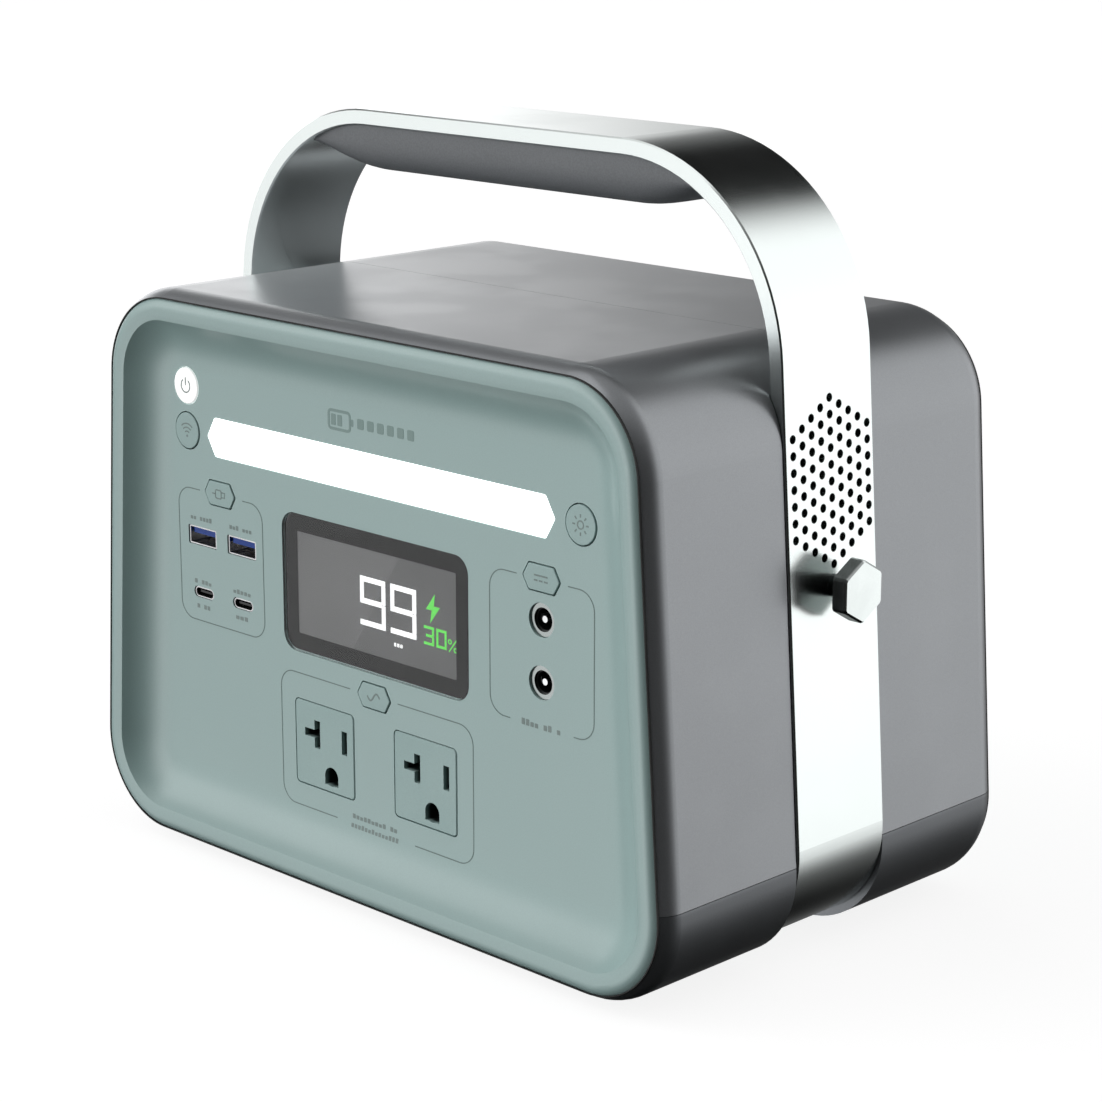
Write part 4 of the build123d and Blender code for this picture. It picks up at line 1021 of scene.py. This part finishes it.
# ---- ports and outlets
class STATION_OT_ports(bpy.types.Operator):
    """USB ports, DC jacks and outlets with their contacts"""
    bl_idname = "station.ports"
    bl_label = "Ports and outlets"

    def execute(self, context):
        paint_nodes({"steel": "usb_a_shells usb_c_shells", "tongue": "usb_a_tongues",
                     "port_black": "usb_c_tongues dc_jack_barrels input_barrel",
                     "ring": "dc_jack_rings input_ring", "chrome": "dc_jack_pins input_pin",
                     "brass": "outlet_contacts"})
        outlet = outlet_finish()
        for node in ("outlet_left", "outlet_right"):
            paint_node(node, outlet)
        low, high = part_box("usb_a_tongues")
        parts = []
        for cx in (low.x + 5.5 * MM, high.x - 5.5 * MM):
            for k in range(4):
                a = cx + (-3.9 + 2.2 * k) * MM
                parts.append(box_part(a, a + 1.2 * MM, low.y + 0.3 * MM, low.y + 6.5 * MM,
                                      low.z - 0.12 * MM, low.z - 0.01 * MM))
        make_object("usb_a_contacts", parts, "gold")
        parts = []
        for x, z in jack_centres("dc_jack_pins") + jack_centres("input_pin"):
            front = z[1] < 0
            for s in (-1, 1):
                a = x + s * 2.75 * MM
                y0, y1 = (z[1] + 1.2 * MM, z[1] + 6 * MM) if front else (z[1] - 6 * MM, z[1] - 1.2 * MM)
                parts.append(box_part(a - 0.2 * MM, a + 0.2 * MM, y0, y1, z[0] - 0.9 * MM, z[0] + 0.9 * MM))
        make_object("jack_springs", parts, "steel")
        return {"FINISHED"}


def jack_centres(node):
    """Axis (x, (z, outer y)) of each pin in a node, from its box."""
    low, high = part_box(node)
    r = (high.x - low.x) / 2
    x, y = (low.x + high.x) / 2, low.y if low.y < 0 else high.y
    if high.z - low.z < 3 * r:
        return [(x, ((low.z + high.z) / 2, y))]
    return [(x, (low.z + r, y)), (x, (high.z - r, y))]


# ---- screws, feet, flap
def hexagon(angle, row, first):
    """Radius factor that makes the rows from first on a hexagon: 1 at its flats."""
    if row < first:
        return np.ones_like(angle)
    wedge = np.mod(angle + np.pi / 6, np.pi / 3) - np.pi / 6
    return 1.0 / np.cos(wedge)


def screw_head(radius, height, key, depth):
    """Screw head about +Z with its top at height: side, rim rounded by a quarter turn of radius rim,
    hexagonal socket and its floor."""
    rim = 0.9 * MM
    profile = [(radius, 0.0)] + [(radius - rim * (1 - math.cos(a)), height - rim * (1 - math.sin(a)))
                                 for a in np.linspace(0, np.pi / 2, 7)]
    top = profile[-1][1]
    first = len(profile) + 1
    profile += [(key * 1.18 + 0.1 * MM, top), (key + 0.08 * MM, top), (key, top - 0.1 * MM),
                (key, top - depth), (key * 0.4, top - depth - 0.2 * MM)]
    return lathe(profile, 48, lambda a, k: hexagon(a, k, first))


BACKWARD = ((1, 0, 0), (0, 0, -1), (0, 1, 0))          # axes that turn +Z to +Y
DOWNWARD = ((1, 0, 0), (0, -1, 0), (0, 0, -1))         # axes that turn +Z to -Z
COVER_SCREWS = ((92, 62), (90, 138), (60, 34), (50, 151))   # X to each side and Z, millimetres


class STATION_OT_fasteners(bpy.types.Operator):
    """Screw heads with hexagonal sockets, grooved feet and the rear flap's finish"""
    bl_idname = "station.fasteners"
    bl_label = "Screws and feet"

    def execute(self, context):
        paint_nodes({"zinc": "cover_screws base_screws strap_screws board_screws fan_screws flap_pin",
                     "flap": "input_flap", "foot": "rubber_feet"})
        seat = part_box("cover_screws")[1].y - 2.15 * MM
        head = screw_head(3.2 * MM, 2.2 * MM, 1.25 * MM, 1.3 * MM)
        shank = lathe([(1.45 * MM, -14.0 * MM), (1.47 * MM, 0.2 * MM)], 16)
        cover = []
        for x, z in COVER_SCREWS:
            for part in (head, shank):
                for side in (-1, 1):
                    cover.append(turned(part, BACKWARD, (side * x * MM, seat, z * MM)))
        make_object("cover_screw_set", cover, "zinc", smooth=True, replaces=("cover_screws",))
        low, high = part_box("rubber_feet")
        feet = []
        for x in (low.x + FOOT_R, high.x - FOOT_R):
            for y in (low.y + FOOT_R, high.y - FOOT_R):
                feet.append(turned(foot_shape(), DOWNWARD, (x, y, high.z)))
        make_object("feet_grooved", feet, "foot", smooth=True, replaces=("rubber_feet",))
        return {"FINISHED"}


def foot_shape():
    """Foot about its axis: stem, shoulder, rounded rim and three shallow rings in the sole."""
    mm = [(2.9, 0.0), (2.95, 3.0), (7.95, 3.05), (8.0, 3.6), (8.0, 5.4), (7.8, 5.85), (7.4, 6.0)]
    for r in (6.2, 4.4, 2.6):
        mm += [(r + 0.5, 6.0), (r + 0.35, 5.6), (r - 0.35, 5.6), (r - 0.5, 6.0)]
    return lathe(np.array(mm + [(0.4, 6.0)]) * MM, 48)


class STATION_OT_insides(bpy.types.Operator):
    """Battery, boards, power parts and cooling fan"""
    bl_idname = "station.insides"
    bl_label = "Insides"

    def execute(self, context):
        paint_nodes({"board": "front_board battery_board inverter_board", "cell": "battery_cells",
                     "black": "cell_holders fan_frame fan_rotor power_transistors", "nickel": "bus_bars",
                     "lead": "battery_leads", "sink": "heat_sink", "ferrite": "transformer_core",
                     "coil": "transformer_coil", "can": "capacitors"})
        return {"FINISHED"}


# ---- panel and registration
OPERATORS = (STATION_OT_stage, STATION_OT_shells, STATION_OT_seals, STATION_OT_grip,
             STATION_OT_prints, STATION_OT_buttons, STATION_OT_display, STATION_OT_ports,
             STATION_OT_fasteners, STATION_OT_insides)


class STATION_PT_panel(bpy.types.Panel):
    """Sidebar panel that lists the settings and the making steps"""
    bl_idname = "STATION_PT_panel"
    bl_label = "Power Station"
    bl_space_type = "VIEW_3D"
    bl_region_type = "UI"
    bl_category = "Power Station"

    def draw(self, context):
        scene = context.scene
        for owner in (scene.station_colours, scene.station_sizes, scene.station_stage):
            for key in owner.__annotations__:
                self.layout.prop(owner, key)
        for operator in OPERATORS:
            self.layout.operator(operator.bl_idname)


CLASSES = (StationColours, StationSizes, StationStage) + OPERATORS + (STATION_PT_panel,)


def register():
    for item in CLASSES:
        bpy.utils.register_class(item)
    bpy.types.Scene.station_colours = PointerProperty(type=StationColours)
    bpy.types.Scene.station_sizes = PointerProperty(type=StationSizes)
    bpy.types.Scene.station_stage = PointerProperty(type=StationStage)


def unregister():
    for key in ("station_colours", "station_sizes", "station_stage"):
        delattr(bpy.types.Scene, key)
    for item in reversed(CLASSES):
        bpy.utils.unregister_class(item)


def main():
    register()
    for operator in OPERATORS:
        group, name = operator.bl_idname.split(".")
        getattr(getattr(bpy.ops, group), name)()


if __name__ == "__main__":
    main()
